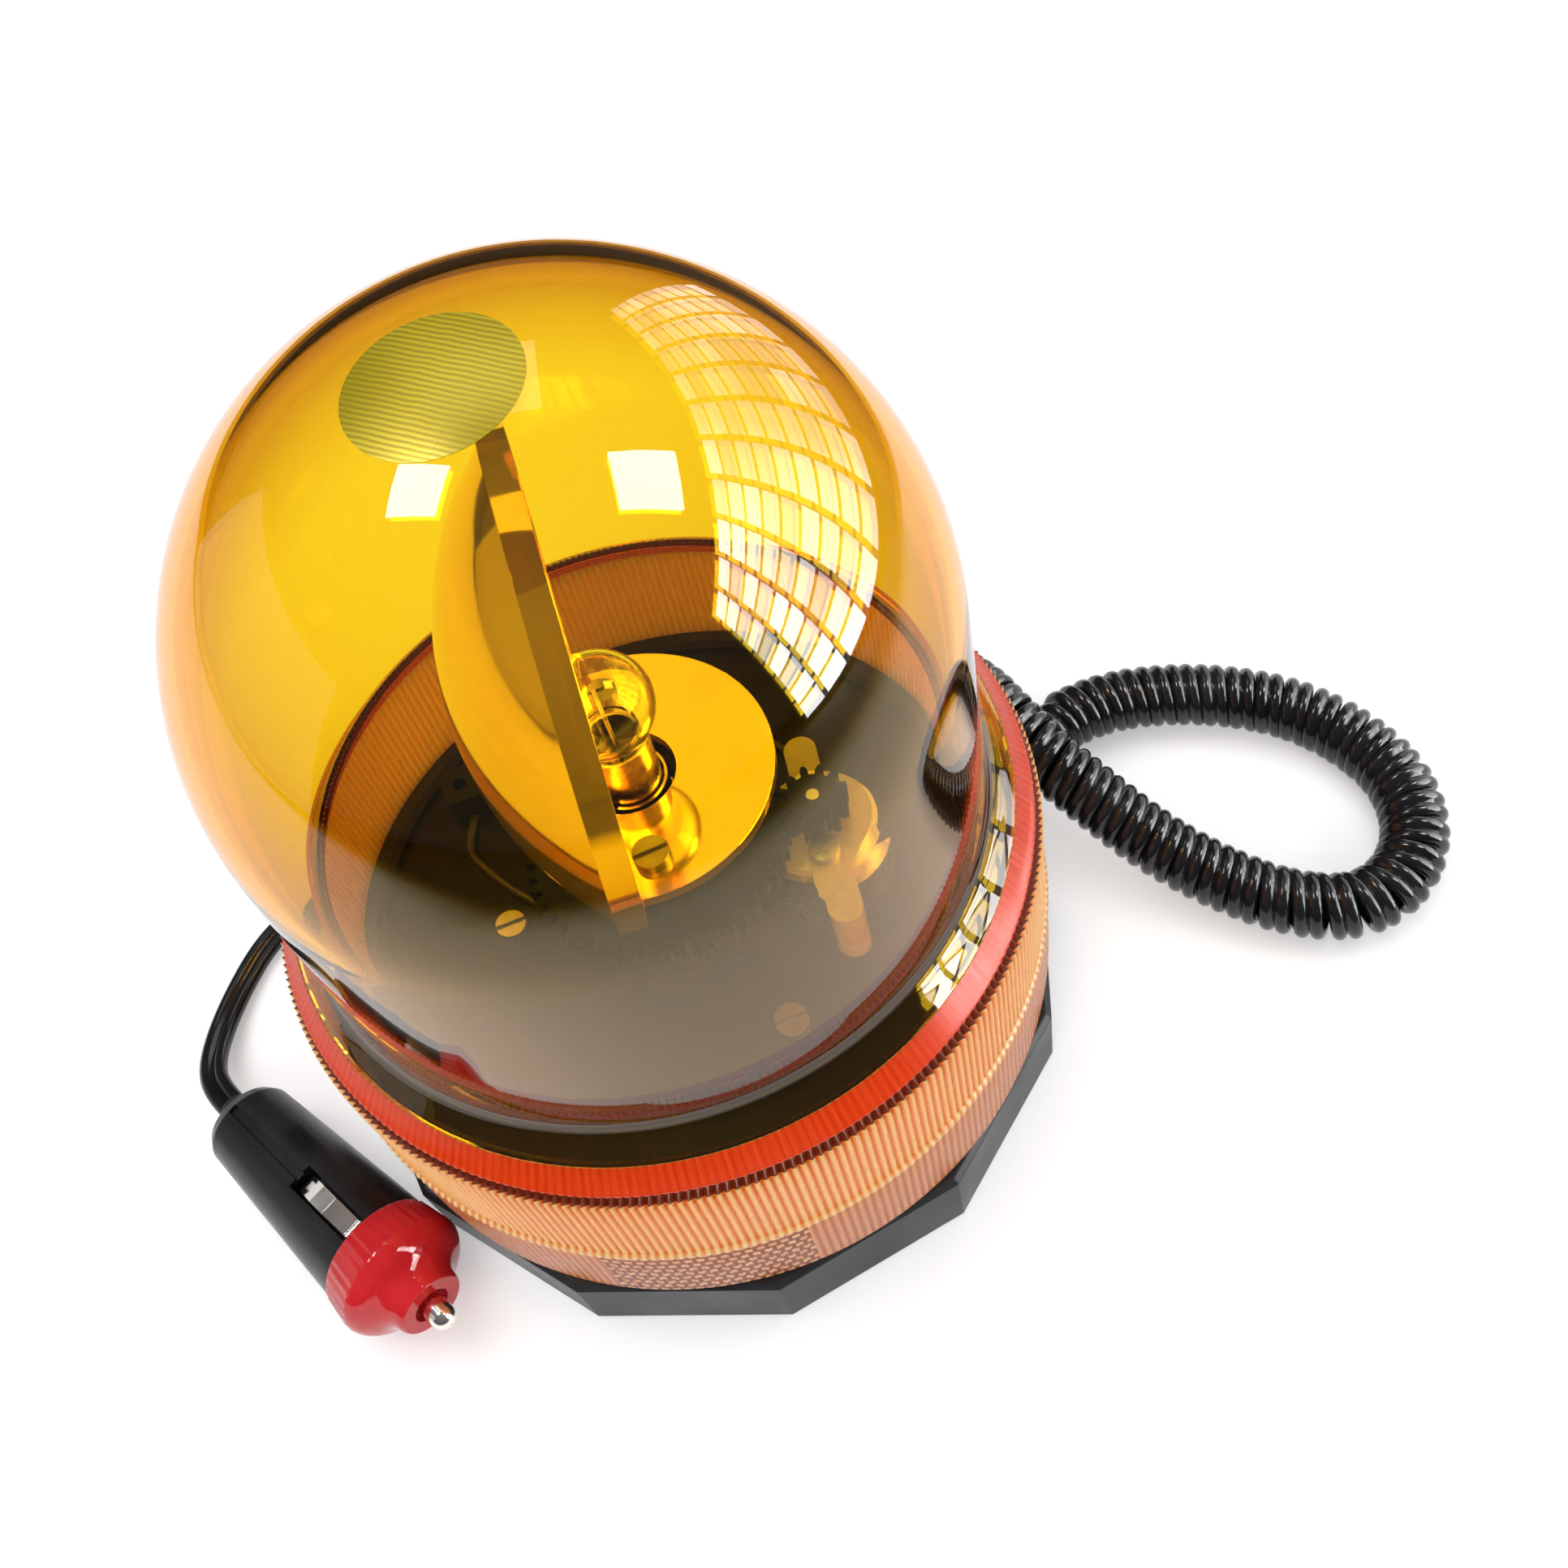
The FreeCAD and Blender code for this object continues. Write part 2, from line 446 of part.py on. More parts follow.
def taper(low_radius, high_radius, low, high):
    """An upright cone between two heights."""
    rise = f"({high}) - ({low})"
    return solid("Cone", at=("0", "0", low), Radius1=low_radius, Radius2=high_radius, Height=rise)


def sector(radius, low, high, start, span):
    """A slice of an upright cylinder."""
    rise = f"({high}) - ({low})"
    return solid("Cylinder", at=("0", "0", low), turn=start, Radius=radius, Height=rise, Angle=span)


def bar(length, width, low, high, x="0", y="0"):
    """An upright block centred on x and y."""
    corner = (f"({x}) - ({length}) / 2", f"({y}) - ({width}) / 2", low)
    return solid("Box", at=corner, Length=length, Width=width, Height=f"({high}) - ({low})")


def fuse(*pieces):
    joined = doc.addObject("Part::MultiFuse", "Joined")
    joined.Shapes = list(pieces)
    return joined


def cut(base, *tools):
    rest = doc.addObject("Part::Cut", "Rest")
    rest.Base = base
    rest.Tool = tools[0] if len(tools) == 1 else fuse(*tools)
    return rest


def overlap(*pieces):
    shared = doc.addObject("Part::MultiCommon", "Shared")
    shared.Shapes = list(pieces)
    return shared


def moved(piece, pose):
    """A piece carried to another place."""
    carried = doc.addObject("Part::Compound", "Moved")
    carried.Links = [piece]
    carried.Placement = pose
    return carried


def tube(radius, bore, low, high, x="0", y="0"):
    return cut(rod(radius, low, high, x, y), drill(bore, low, high, x, y))


def polar(offset, direction):
    """X and Y expressions of a point at a distance and a direction."""
    return f"{offset} * cos({direction})", f"{offset} * sin({direction})"


def around(count, start, make):
    """A piece made once for each of several even directions."""
    return [make(f"{start} + {step} * 360 / {count}") for step in range(count)]


def screws(head_low, places):
    """Slotted screws standing head up at several places."""
    head_top = f"({head_low}) + screw_head_height"
    slot_low = f"({head_low}) + screw_head_height / 2"
    made = []
    for x, y in places:
        head = rod("screw_head", head_low, head_top, x, y)
        slot = bar("screw_head * 3", "drive_slot", slot_low, f"{head_top} + cut_over", x, y)
        shank = rod("screw_radius", f"({head_low}) - screw_length", slot_low, x, y)
        made.append(cut(fuse(head, shank), slot))
    return fuse(*made)


def screw_holes(low, high, places):
    return [drill("screw_radius", low, high, x, y) for x, y in places]


def node(label, piece, pose=None):
    """Names a finished piece and keeps it for export."""
    piece.Label = label
    if pose is not None:
        piece.Placement = pose
    nodes.append(piece)
    return piece


def hold(sketch, corner, axis, expression):
    """Fixes one coordinate of a sketch corner to the sheet."""
    number = size(expression)
    if abs(number) < 1e-9:
        line = -2 if axis == "X" else -1
        sketch.addConstraint(Sketcher.Constraint("PointOnObject", corner, 1, line))
        return
    index = sketch.addConstraint(Sketcher.Constraint("Distance" + axis, -1, 1, corner, 1, number))
    sketch.setExpression(f"Constraints[{index}]", cell(expression))


def outline(body, corners):
    """A closed sketch in the body's XZ plane, its corners following the sheet."""
    sketch = body.newObject("Sketcher::SketchObject", "Outline")
    support = next(part for part in body.Origin.OriginFeatures if part.Role == "XZ_Plane")
    sketch.AttachmentSupport = [(support, "")]
    sketch.MapMode = "FlatFace"
    points = [FreeCAD.Vector(size(x), size(y), 0) for x, y in corners]
    count = len(points)
    for index, point in enumerate(points):
        sketch.addGeometry(Part.LineSegment(point, points[(index + 1) % count]), False)
    for index in range(count):
        sketch.addConstraint(Sketcher.Constraint("Coincident", index, 2, (index + 1) % count, 1))
    for index, (x, y) in enumerate(corners):
        hold(sketch, index, "X", x)
        hold(sketch, index, "Y", y)
    return sketch


def turned(corners):
    """A body turned about Z from corners given as radius and height."""
    body = doc.addObject("PartDesign::Body", "Turned")
    sketch = outline(body, corners)
    turn = body.newObject("PartDesign::Revolution", "Turn")
    turn.Profile = sketch
    turn.ReferenceAxis = (sketch, ["V_Axis"])
    turn.Angle = 360
    body.Tip = turn
    return body


def strip(corners, width):
    """A body padded both ways from an outline in the XZ plane."""
    body = doc.addObject("PartDesign::Body", "Strip")
    sketch = outline(body, corners)
    pad = body.newObject("PartDesign::Pad", "Pad")
    pad.Profile = sketch
    pad.setExpression("Length", cell(width))
    pad.Midplane = True
    body.Tip = pad
    return body


def rounded_path(points):
    """Straight runs joined by tangent arcs, each arc as large as its runs allow."""
    corners = [FreeCAD.Vector(*point) for point in points]
    edges = []
    radii = []
    start = corners[0]
    for before, corner, after in zip(corners, corners[1:], corners[2:]):
        back = before - corner
        ahead = after - corner
        trim = ARC_SHARE * min(back.Length, ahead.Length)
        half_turn = (math.pi - back.getAngle(ahead)) / 2
        radii.append(trim / math.tan(half_turn))
        first = corner + back.normalize() * trim
        last = corner + ahead.normalize() * trim
        towards = (first + last) * 0.5 - corner
        depth = radii[-1] / math.cos(half_turn) - radii[-1]
        middle = corner + towards.normalize() * depth
        edges.append(Part.LineSegment(start, first).toShape())
        edges.append(Part.Arc(first, middle, last).toShape())
        start = last
    edges.append(Part.LineSegment(start, corners[-1]).toShape())
    return Part.Wire(edges), radii


def cord(label, points, radius):
    """A round tube along a route."""
    path, radii = rounded_path(points)
    heading = FreeCAD.Vector(*points[1]) - FreeCAD.Vector(*points[0])
    section = Part.Wire(Part.makeCircle(size(radius), FreeCAD.Vector(*points[0]), heading))
    piece = doc.addObject("Part::Feature", "Cord")
    piece.Shape = path.makePipeShell([section], True, False)
    ideal = math.pi * size(radius) ** 2 * path.Length
    print(label, "length %.1f" % path.Length, "volume ratio %.4f" % (piece.Shape.Volume / ideal))
    print("  radii", " ".join("%.0f" % value for value in radii))
    return node(label, piece)


def involute(angle):
    return math.tan(angle) - angle


def gear_blank(teeth, low, high, phase):
    """Spur gear teeth about Z, the first in the direction of phase, radians."""
    module = size("gear_module")
    pitch = module * teeth / 2
    base = pitch * math.cos(PRESSURE_ANGLE)
    root = pitch - TOOTH_ROOT * module
    tip = pitch + TOOTH_TIP * module
    half_tooth = math.pi / (2 * teeth) - size("tooth_play") / (4 * pitch)

    def half_width(radius):
        slope = math.acos(base / radius) if radius > base else 0.0
        return half_tooth + involute(PRESSURE_ANGLE) - involute(slope)

    flank = [root, max(base, root) + TOOTH_FOOT * module, pitch, tip]
    corners = []
    for tooth in range(teeth):
        middle = phase + 2 * math.pi * tooth / teeth
        corners += [(radius, middle - half_width(radius)) for radius in flank]
        corners += [(radius, middle + half_width(radius)) for radius in reversed(flank)]
    points = [FreeCAD.Vector(r * math.cos(a), r * math.sin(a), size(low)) for r, a in corners]
    face = Part.Face(Part.makePolygon(points + points[:1]))
    piece = doc.addObject("Part::Feature", "Teeth")
    piece.Shape = face.extrude(ALONG_Z * size(f"({high}) - ({low})"))
    return piece


# Base: foot, neck, lugs, posts

foot_blank = solid(
    "Prism", at=("0", "0", "foot_low"), turn="foot_turn",
    Circumradius="foot_flat / cos(180 / foot_sides)", Height="foot_top - foot_low",
)
foot_blank.Polygon = int(size("foot_sides"))
doc.recompute()
foot = doc.addObject("Part::Chamfer", "Foot")
foot.Base = foot_blank
top_edges = [
    index for index, edge in enumerate(foot_blank.Shape.Edges, start=1)
    if all(abs(corner.Z - size("foot_top")) < 1e-6 for corner in edge.Vertexes)
]
foot.Edges = [(index, size("foot_bevel"), size("foot_bevel")) for index in top_edges]

LUGS = int(size("lug_count"))
post_places = around(3, "post_turn", lambda way: polar("post_offset", way))
pot_screw_places = around(3, "pot_screw_turn", lambda way: polar("(ring_radius + ring_bore) / 2", way))


def neck_lug(way):
    """A lug that a lens lug turns under."""
    blank = sector("neck_radius + lug_depth", "lug_low", "lug_low + lug_thick", way, "lug_span")
    return cut(blank, drill("neck_bore", "lug_low", "lug_low + lug_thick"))


def stay(way):
    """A rib across the foot's hollow."""
    side = (f"stay_thick / 2 * sin({way})", f"-stay_thick / 2 * cos({way})", "0")
    return solid("Box", at=side, turn=way, Length="foot_flat", Width="stay_thick", Height="foot_top")


gland_x = "foot_flat * cos(gland_flat) - gland_side * sin(gland_flat)"
gland_y = "foot_flat * sin(gland_flat) + gland_side * cos(gland_flat)"
GLAND_POSE = FreeCAD.Placement(
    FreeCAD.Vector(size(gland_x), size(gland_y), size("gland_height")),
    FreeCAD.Rotation(ALONG_Z, size("gland_flat")) * FreeCAD.Rotation(ALONG_Y, 90),
)
hollow = cut(
    tube("foot_flat - foot_wall", "pad_radius + pocket_wall", "-cut_over", "hollow_top"),
    *around(6, "foot_turn", stay),
)
shell = cut(
    fuse(
        foot,
        rod("neck_radius", "floor_top", "neck_top"),
        *around(LUGS, "lug_turn", neck_lug),
    ),
    rod("neck_bore", "floor_top", "neck_top + cut_over"),
    rod("pad_radius + pocket_gap", "-cut_over", "hollow_top"),
    hollow,
    moved(drill("gland_neck", "-foot_wall - cut_over", "0"), GLAND_POSE),
    drill("duct_radius", "hollow_top", "floor_top", "duct_x", "duct_y"),
    *screw_holes("hollow_top", "floor_top", pot_screw_places),
)
posts = [rod("post_radius", "floor_top - post_root", "deck_low", x, y) for x, y in post_places]
pilots = screw_holes("deck_top - screw_length", "deck_low", post_places)
node("base_housing", cut(fuse(shell, *posts), *pilots))

# Magnet in its steel pot

node("magnet_pad", rod("pad_radius", "0", "pad_thick"))
pot = cut(
    rod("pot_radius", "pad_thick", "hollow_top"),
    rod("pot_radius - pot_wall", "pad_thick - cut_over", "hollow_top - pot_wall"),
    *screw_holes("pad_thick", "hollow_top", pot_screw_places),
)
node("magnet_pot", pot)
ring = tube("ring_radius", "ring_bore", "pad_thick", "hollow_top - pot_wall")
node("magnet_ring", cut(ring, *screw_holes("pad_thick", "hollow_top", pot_screw_places)))
node("magnet_pole", rod("pole_radius", "pad_thick", "hollow_top - pot_wall"))
node("magnet_screws", screws("floor_top", pot_screw_places))

# Deck, spindle and their screws

motor_x, motor_y = polar("motor_offset", "motor_turn")
flange_places = around(3, "motor_turn + 180", lambda way: polar("flange_screw_offset", way))
deck = cut(
    rod("deck_radius", "deck_low", "deck_top"),
    drill("motor_radius + motor_hole_gap", "deck_low", "deck_top", motor_x, motor_y),
    drill("spindle_bore", "deck_low", "deck_top"),
    drill("duct_radius", "deck_low", "deck_top", "block_x", "block_y"),
    *screw_holes("deck_low", "deck_top", post_places + flange_places),
)
deck_lip = tube("deck_radius", "deck_radius - deck_lip_wall", "deck_low", "deck_top + deck_lip_height")
node("deck_plate", fuse(deck, deck_lip))
node("deck_screws", screws("deck_top", post_places))
spindle = turned([
    ("spindle_bore", "deck_top"), ("flange_radius", "deck_top"), ("flange_radius", "flange_top"),
    ("seat_radius", "flange_top"), ("seat_radius", "seat_top"), ("spindle_radius", "seat_top"),
    ("spindle_radius", "spindle_top"), ("spindle_mouth", "spindle_top"),
    ("spindle_mouth", "spindle_mouth_low"), ("spindle_bore", "spindle_mouth_low"),
])
node("lamp_spindle", cut(spindle, *screw_holes("deck_top", "flange_top", flange_places)))
node("spindle_screws", screws("flange_top", flange_places))
node("thrust_washer", tube("seat_radius + washer_margin", "spindle_radius", "seat_top", "rotor_low"))
clip = cut(
    tube("clip_radius", "spindle_radius", "clip_low", "clip_low + clip_thick"),
    sector("clip_radius + cut_over", "cup_low", "spindle_top", "0", "clip_opening"),
)
node("retaining_clip", clip)

# Rotor: gear with hub, and the reflector on it

ear_places = around(2, "dish_turn + 90", lambda way: polar("ear_offset", way))
gear_teeth = int(size("gear_teeth"))
rotor = cut(
    fuse(
        gear_blank(gear_teeth, "gear_low", "gear_high", 0.0),
        rod("hub_radius", "rotor_low", "hub_top"),
        *[rod("ear_radius", "ear_low", "hub_top", x, y) for x, y in ear_places],
    ),
    drill("spindle_radius + run_gap", "rotor_low", "hub_top"),
    rod("cup_radius", "cup_low", "hub_top + cut_over"),
    *screw_holes("ear_low", "hub_top", ear_places),
)
node("rotor_gear", rotor)

# The reflector is drawn with its mouth's middle at the origin and its opening along Z, then stood up.
REFLECTOR_POSE = FreeCAD.Placement(ORIGIN, FreeCAD.Rotation(ALONG_Z, size("dish_turn"))).multiply(
    FreeCAD.Placement(
        FreeCAD.Vector(-size("dish_setback"), 0, size("dish_middle")),
        FreeCAD.Rotation(ALONG_Y, size("90 + dish_lean")),
    )
)
ball_middle = ("0", "0", "dish_ball - dish_depth")
dish = overlap(
    cut(
        solid("Sphere", at=ball_middle, Radius="dish_ball + dish_wall"),
        solid("Sphere", at=ball_middle, Radius="dish_ball"),
    ),
    rod("dish_rim + lip_wall", "-dish_depth - dish_wall - cut_over", "0"),
)
lip = tube("dish_rim + lip_wall", "dish_rim", "-lip_depth / 2", "lip_depth / 2")
mirror = cut(
    moved(fuse(dish, lip), REFLECTOR_POSE),
    rod("dish_rim + dish_depth", "hub_top - dish_rim", "hub_top"),
)
hollow_side = moved(solid("Sphere", at=ball_middle, Radius="dish_ball + dish_wall / 2"), REFLECTOR_POSE)
shelf = overlap(rod("shelf_radius", "hub_top", "shelf_top"), hollow_side)
reflector = cut(
    fuse(mirror, shelf),
    drill("shelf_notch", "hub_top", "shelf_top"),
    *screw_holes("hub_top", "shelf_top", ear_places),
)
node("reflector", reflector)
node("reflector_screws", screws("shelf_top", ear_places))

# Motor with its pinion


def beside_motor(offset, side):
    """A point left or right of the motor, square to its direction."""
    x = f"{motor_x} + {side} * {offset} * sin(motor_turn)"
    y = f"{motor_y} - {side} * {offset} * cos(motor_turn)"
    return x, y


BOTH_SIDES = (-1, 1)
leg_places = [beside_motor("mount_leg_offset", side) for side in BOTH_SIDES]
mount_screw_places = [beside_motor("mount_screw_offset", side) for side in BOTH_SIDES]
mount_top = "motor_top + mount_thick"
boss_top = "motor_top + motor_boss_height"
can = cut(
    fuse(
        rod("motor_radius", "motor_low", "motor_top", motor_x, motor_y),
        rod("motor_boss", "motor_low", boss_top, motor_x, motor_y),
    ),
    drill("shaft_radius + run_gap", "motor_top - bearing_depth", boss_top, motor_x, motor_y),
    *screw_holes("motor_top - screw_length", "motor_top", mount_screw_places),
)
node("motor_can", can)
node("motor_end_cap", rod("motor_radius - end_cap_inset", "motor_cap_low", "motor_low", motor_x, motor_y))
terminals = [
    bar("terminal_width", "terminal_thick", "motor_cap_low - terminal_height", "motor_cap_low", x, y)
    for x, y in [beside_motor("terminal_side", side) for side in BOTH_SIDES]
]
node("motor_terminals", fuse(*terminals))
bridge_x = f"{motor_x} - mount_leg * cos(motor_turn) + mount_leg_offset * sin(motor_turn)"
bridge_y = f"{motor_y} - mount_leg * sin(motor_turn) - mount_leg_offset * cos(motor_turn)"
bridge = solid(
    "Box", at=(bridge_x, bridge_y, "motor_top"), turn="motor_turn",
    Length="mount_leg * 2", Width="mount_leg_offset * 2", Height="mount_thick",
)
mount = cut(
    fuse(
        bridge,
        rod("motor_radius - end_cap_inset", "motor_top", mount_top, motor_x, motor_y),
        *[rod("mount_leg", "deck_top", mount_top, x, y) for x, y in leg_places],
    ),
    drill("motor_boss + boss_gap", "motor_top", mount_top, motor_x, motor_y),
    *screw_holes("motor_top", mount_top, mount_screw_places),
)
node("motor_mount", mount)
node("motor_screws", screws(mount_top, mount_screw_places))
node("motor_shaft", rod("shaft_radius", "motor_top - shaft_depth", "shaft_top", motor_x, motor_y))

# A gap of the pinion meets the gear's tooth where the line of centres crosses both.
pinion_teeth = int(size("pinion_teeth"))
line_of_centres = math.radians(size("motor_turn"))
pinion_phase = math.pi + math.pi / pinion_teeth + line_of_centres * (1 + gear_teeth / pinion_teeth)
pinion = gear_blank(pinion_teeth, "gear_low - pinion_over", "gear_high + pinion_over", pinion_phase)
pinion.Placement.Base = FreeCAD.Vector(size(motor_x), size(motor_y), 0)
node("motor_pinion", cut(pinion, drill("shaft_radius", "gear_low", "shaft_top", motor_x, motor_y)))

# Lamp holder, its contact, and the bulb


def pin_slot(way):
    """A slot down from the mouth and along to where the pin rests."""
    length = "spindle_bore + cut_over"
    low = "pin_middle - pin_slot / 2"
    pieces = [sector(length, low, "pin_middle + pin_slot / 2", f"{way} - pin_sweep", "pin_sweep")]
    for turn, height in ((way, "holder_top - pin_middle + pin_slot"), (f"{way} - pin_sweep", "pin_slot")):
        corner = (f"pin_slot / 2 * sin({turn})", f"-pin_slot / 2 * cos({turn})", low)
        pieces.append(solid("Box", at=corner, turn=turn, Length=length, Width="pin_slot", Height=height))
    return fuse(*pieces)


def bulb_pin(way):
    """A bayonet pin lying out from the cap."""
    pin = solid("Cylinder", Radius="pin_radius", Height="pin_length + pin_root")
    root_x, root_y = polar("(cap_radius - pin_root)", way)
    return moved(pin, FreeCAD.Placement(
        FreeCAD.Vector(size(root_x), size(root_y), size("pin_middle")),
        FreeCAD.Rotation(ALONG_Z, size(way)) * FreeCAD.Rotation(ALONG_Y, 90),
    ))


node("lamp_holder", cut(
    tube("spindle_bore", "holder_bore", "holder_low", "holder_top"),
    *around(2, "pin_sweep", pin_slot),
))
wire_hole = "spring_radius - 2 * spring_wall"
spring_seat = "spring_radius + spring_gap"
node("holder_insulator", turned([
    (wire_hole, "holder_low"), ("holder_bore", "holder_low"), ("holder_bore", "spring_low + insulator_rim"),
    (spring_seat, "spring_low + insulator_rim"), (spring_seat, "spring_low"), (wire_hole, "spring_low"),
]))
node("holder_spring", tube("spring_radius", "spring_radius - spring_wall", "spring_low", "contact_low"))
contact_edge = "holder_bore - contact_gap"
flange_high = "contact_low + contact_flange"
node("holder_contact", turned([
    ("0", "contact_low"), (contact_edge, "contact_low"), (contact_edge, flange_high),
    ("contact_radius", flange_high), ("contact_radius", "contact_top"), ("0", "contact_top"),
]))
cap_tube = turned([
    ("glass_neck", "cap_low"), ("cap_radius", "cap_low"),
    ("cap_radius", "cap_top"), ("glass_neck", "cap_top"),
])
node("bulb_cap", fuse(cap_tube, *around(2, "0", bulb_pin)))
node("bulb_base", turned([
    ("0", "contact_top"), ("contact_radius", "contact_top"), ("contact_radius + solder_flare", "cap_low"),
    ("glass_neck", "cap_low"), ("glass_neck", "glass_low"), ("0", "glass_low"),
]))
glass_bore = "glass_neck - glass_wall"
globe_at = ("0", "0", "globe_middle")
glass = cut(
    fuse(
        solid("Sphere", at=globe_at, Radius="globe_radius"),
        rod("glass_neck", "glass_low", "globe_middle"),
    ),
    solid("Sphere", at=globe_at, Radius="globe_radius - glass_wall"),
    rod(glass_bore, "glass_low + glass_wall", "globe_middle"),
)
node("bulb_glass", glass)
stem_low = "glass_low + glass_wall"
stem_wires = [
    rod("stem_wire", "glass_low + stem_height", "globe_middle", "0", f"{side} * stem_side")
    for side in BOTH_SIDES
]
wire_length = "(stem_side + stem_wire) * 2"
hot_wire = bar("stem_wire * 2", wire_length, "globe_middle - stem_wire", "globe_middle + stem_wire")
node("bulb_filament", fuse(rod(glass_bore, stem_low, f"{stem_low} + stem_height"), hot_wire, *stem_wires))

# Lens: dome, shoulder, skirt with bayonet lugs

shell = turned([
    ("skirt_bore", "skirt_low"), ("band_radius", "skirt_low"), ("band_radius", "band_top"),
    ("skirt_radius", "band_top"), ("skirt_radius", "skirt_high"), ("rim_radius", "rim_high"),
    ("shoulder_radius", "shoulder_high"), ("flare_radius", "flare_high"), ("wall_radius", "wall_low"),
    ("dome_radius", "dome_middle"), ("dome_radius - lens_wall", "dome_middle"),
    ("wall_radius - lens_wall", "wall_low"), ("flare_radius - lens_wall", "flare_high - lens_wall / 2"),
    ("shoulder_radius - lens_wall / 2", "shoulder_high - lens_wall"),
    ("rim_radius - lens_wall / 2", "rim_high - lens_wall"), ("skirt_bore", "band_top"),
])
dome = cut(
    solid("Sphere", at=("0", "0", "dome_middle"), Radius="dome_radius", Angle1="0"),
    solid("Sphere", at=("0", "0", "dome_middle"), Radius="dome_radius - lens_wall"),
)


def lens_lug(way):
    """A lug inside the skirt, under a neck lug."""
    blank = sector("skirt_bore + lug_root", "lens_lug_low", "lens_lug_low + lug_thick", way, "lug_span")
    return cut(blank, drill("neck_radius + turn_gap", "lens_lug_low", "lens_lug_low + lug_thick"))


node("lens", fuse(shell, dome, *around(LUGS, "lug_turn", lens_lug)))
node("lens_gasket", tube("skirt_bore + gasket_margin", "neck_radius", "foot_top", "skirt_low"))

# Terminal block and leads on the deck

block_top = "deck_top + block_height"
hole_low = "deck_top + block_floor"
hole_places = [f"block_x + {side} * block_pitch / 2" for side in BOTH_SIDES]
node("terminal_block", cut(
    bar("block_length", "block_width", "deck_top", block_top, "block_x", "block_y"),
    *[rod("block_hole", hole_low, f"{block_top} + cut_over", x, "block_y") for x in hole_places],
))
lead_height = size("deck_top + wire_radius")
cord("inner_lead_live", [(x, y, lead_height) for x, y in LIVE_ROUTE], "wire_radius")
cord("inner_lead_return", [(x, y, lead_height) for x, y in RETURN_ROUTE], "wire_radius")

# Cord with its gland

node("cord_gland", fuse(
    taper("gland_root", "gland_end", "0", "gland_length"),
    rod("gland_neck", "-foot_wall", "gland_length / 2"),
), GLAND_POSE)
gland_mouth = GLAND_POSE.multVec(ALONG_Z * size("gland_length"))
cord("cord_lead", [gland_mouth, COIL_ROUTE[0]], "cord_radius")
cord("cord_coil", COIL_ROUTE, "coil_radius")

# Plug, drawn along Z from back to tip and then laid on the floor

PLUG_POSE = FreeCAD.Placement(
    FreeCAD.Vector(size("plug_x"), size("plug_y"), size("plug_z")),
    FreeCAD.Rotation(ALONG_Z, size("plug_heading")) * FreeCAD.Rotation(ALONG_Y, size("90 - plug_slope")),
)
HALF_TURN = FreeCAD.Placement(ORIGIN, FreeCAD.Rotation(ALONG_Z, 180))
plug_run_in = PLUG_POSE.multVec(ALONG_Z * -size("plug_run"))
cord("cord_tail", TAIL_ROUTE + [plug_run_in, PLUG_POSE.Base], "cord_radius")
node("plug_boot", fuse(
    taper("boot_end", "boot_root", "0", "boot_length"),
    rod("boot_spigot", "boot_length / 2", "bore_back"),
), PLUG_POSE)
body_shell = turned([
    ("boot_spigot", "boot_length"), ("back_radius - back_round", "boot_length"),
    ("back_radius - back_round / 3", "boot_length + back_round / 3"),
    ("back_radius", "body_shoulder"), ("front_radius", "body_front"),
    ("spigot_radius", "body_front"), ("spigot_radius", "spigot_front"), ("plug_bore", "spigot_front"),
    ("plug_bore", "bore_back"), ("boot_spigot", "bore_back"),
])


def side_slots(floor, back, front):
    """A slot in both sides of the plug body, leaving a core between its floors."""
    block = bar("front_radius * 3", "slot_width", back, front)
    core = bar(f"({floor}) * 2", "slot_width * 2", f"({back}) - cut_over", f"({front}) + cut_over")
    return cut(block, core)


eye_x = "leaf_root - leaf_thick / 2"
eye_z = "leaf_front - eye_radius"
eye_floor = f"{eye_x} - eye_radius - eye_gap"
eye_back = f"{eye_z} - eye_radius - eye_gap"
seam = cut(
    bar("front_radius * 3", "seam_width", "body_shoulder", "slot_back"),
    taper("back_radius - seam_depth", "front_radius - seam_depth", "body_shoulder", "body_front"),
)
node("plug_body", cut(
    body_shell,
    seam,
    side_slots("slot_floor", "slot_back", eye_back),
    side_slots(eye_floor, eye_back, "body_front"),
), PLUG_POSE)


def nose_outline(radius, height):
    """The many-sided outline of the nose ring at one height."""
    sides = solid("RegularPolygon", at=("0", "0", height), Circumradius=radius)
    sides.Polygon = int(size("nose_sides"))
    return sides


nose_ring = doc.addObject("Part::Loft", "NoseRing")
nose_ring.Sections = [
    nose_outline("nose_back_radius", "body_front"),
    nose_outline("nose_radius", "nose_edge"),
]
nose_ring.Solid = True
nose_ring.Ruled = True
node("plug_nose", cut(
    fuse(
        nose_ring,
        taper("nose_face_radius", "nose_round_radius", "nose_edge", "nose_round_front"),
        taper("nose_round_radius", "nose_tip_radius", "nose_round_front", "nose_slope_front"),
        rod("nose_end_radius", "nose_edge", "nose_front"),
    ),
    rod("spigot_radius + run_gap", "body_front - cut_over", "spigot_front + thread_gap"),
    rod("collar_radius + room_gap", "spigot_front", "room_front"),
    drill("tip_radius + run_gap", "room_front", "nose_front"),
    rod("tip_radius + recess_gap", "nose_front - recess_depth", "nose_front + cut_over"),
), PLUG_POSE)
collar_front = "room_front - collar_play"
node("plug_tip", fuse(
    rod("tip_radius", "tip_back", "tip_front - tip_radius"),
    solid("Sphere", at=("0", "0", "tip_front - tip_radius"), Radius="tip_radius"),
    rod("collar_radius", f"{collar_front} - collar_thick", collar_front),
), PLUG_POSE)
fuse_glass = rod("fuse_radius - fuse_step", "fuse_back + fuse_cap", "tip_back - fuse_cap")
node("fuse_glass", moved(fuse_glass, PLUG_POSE))
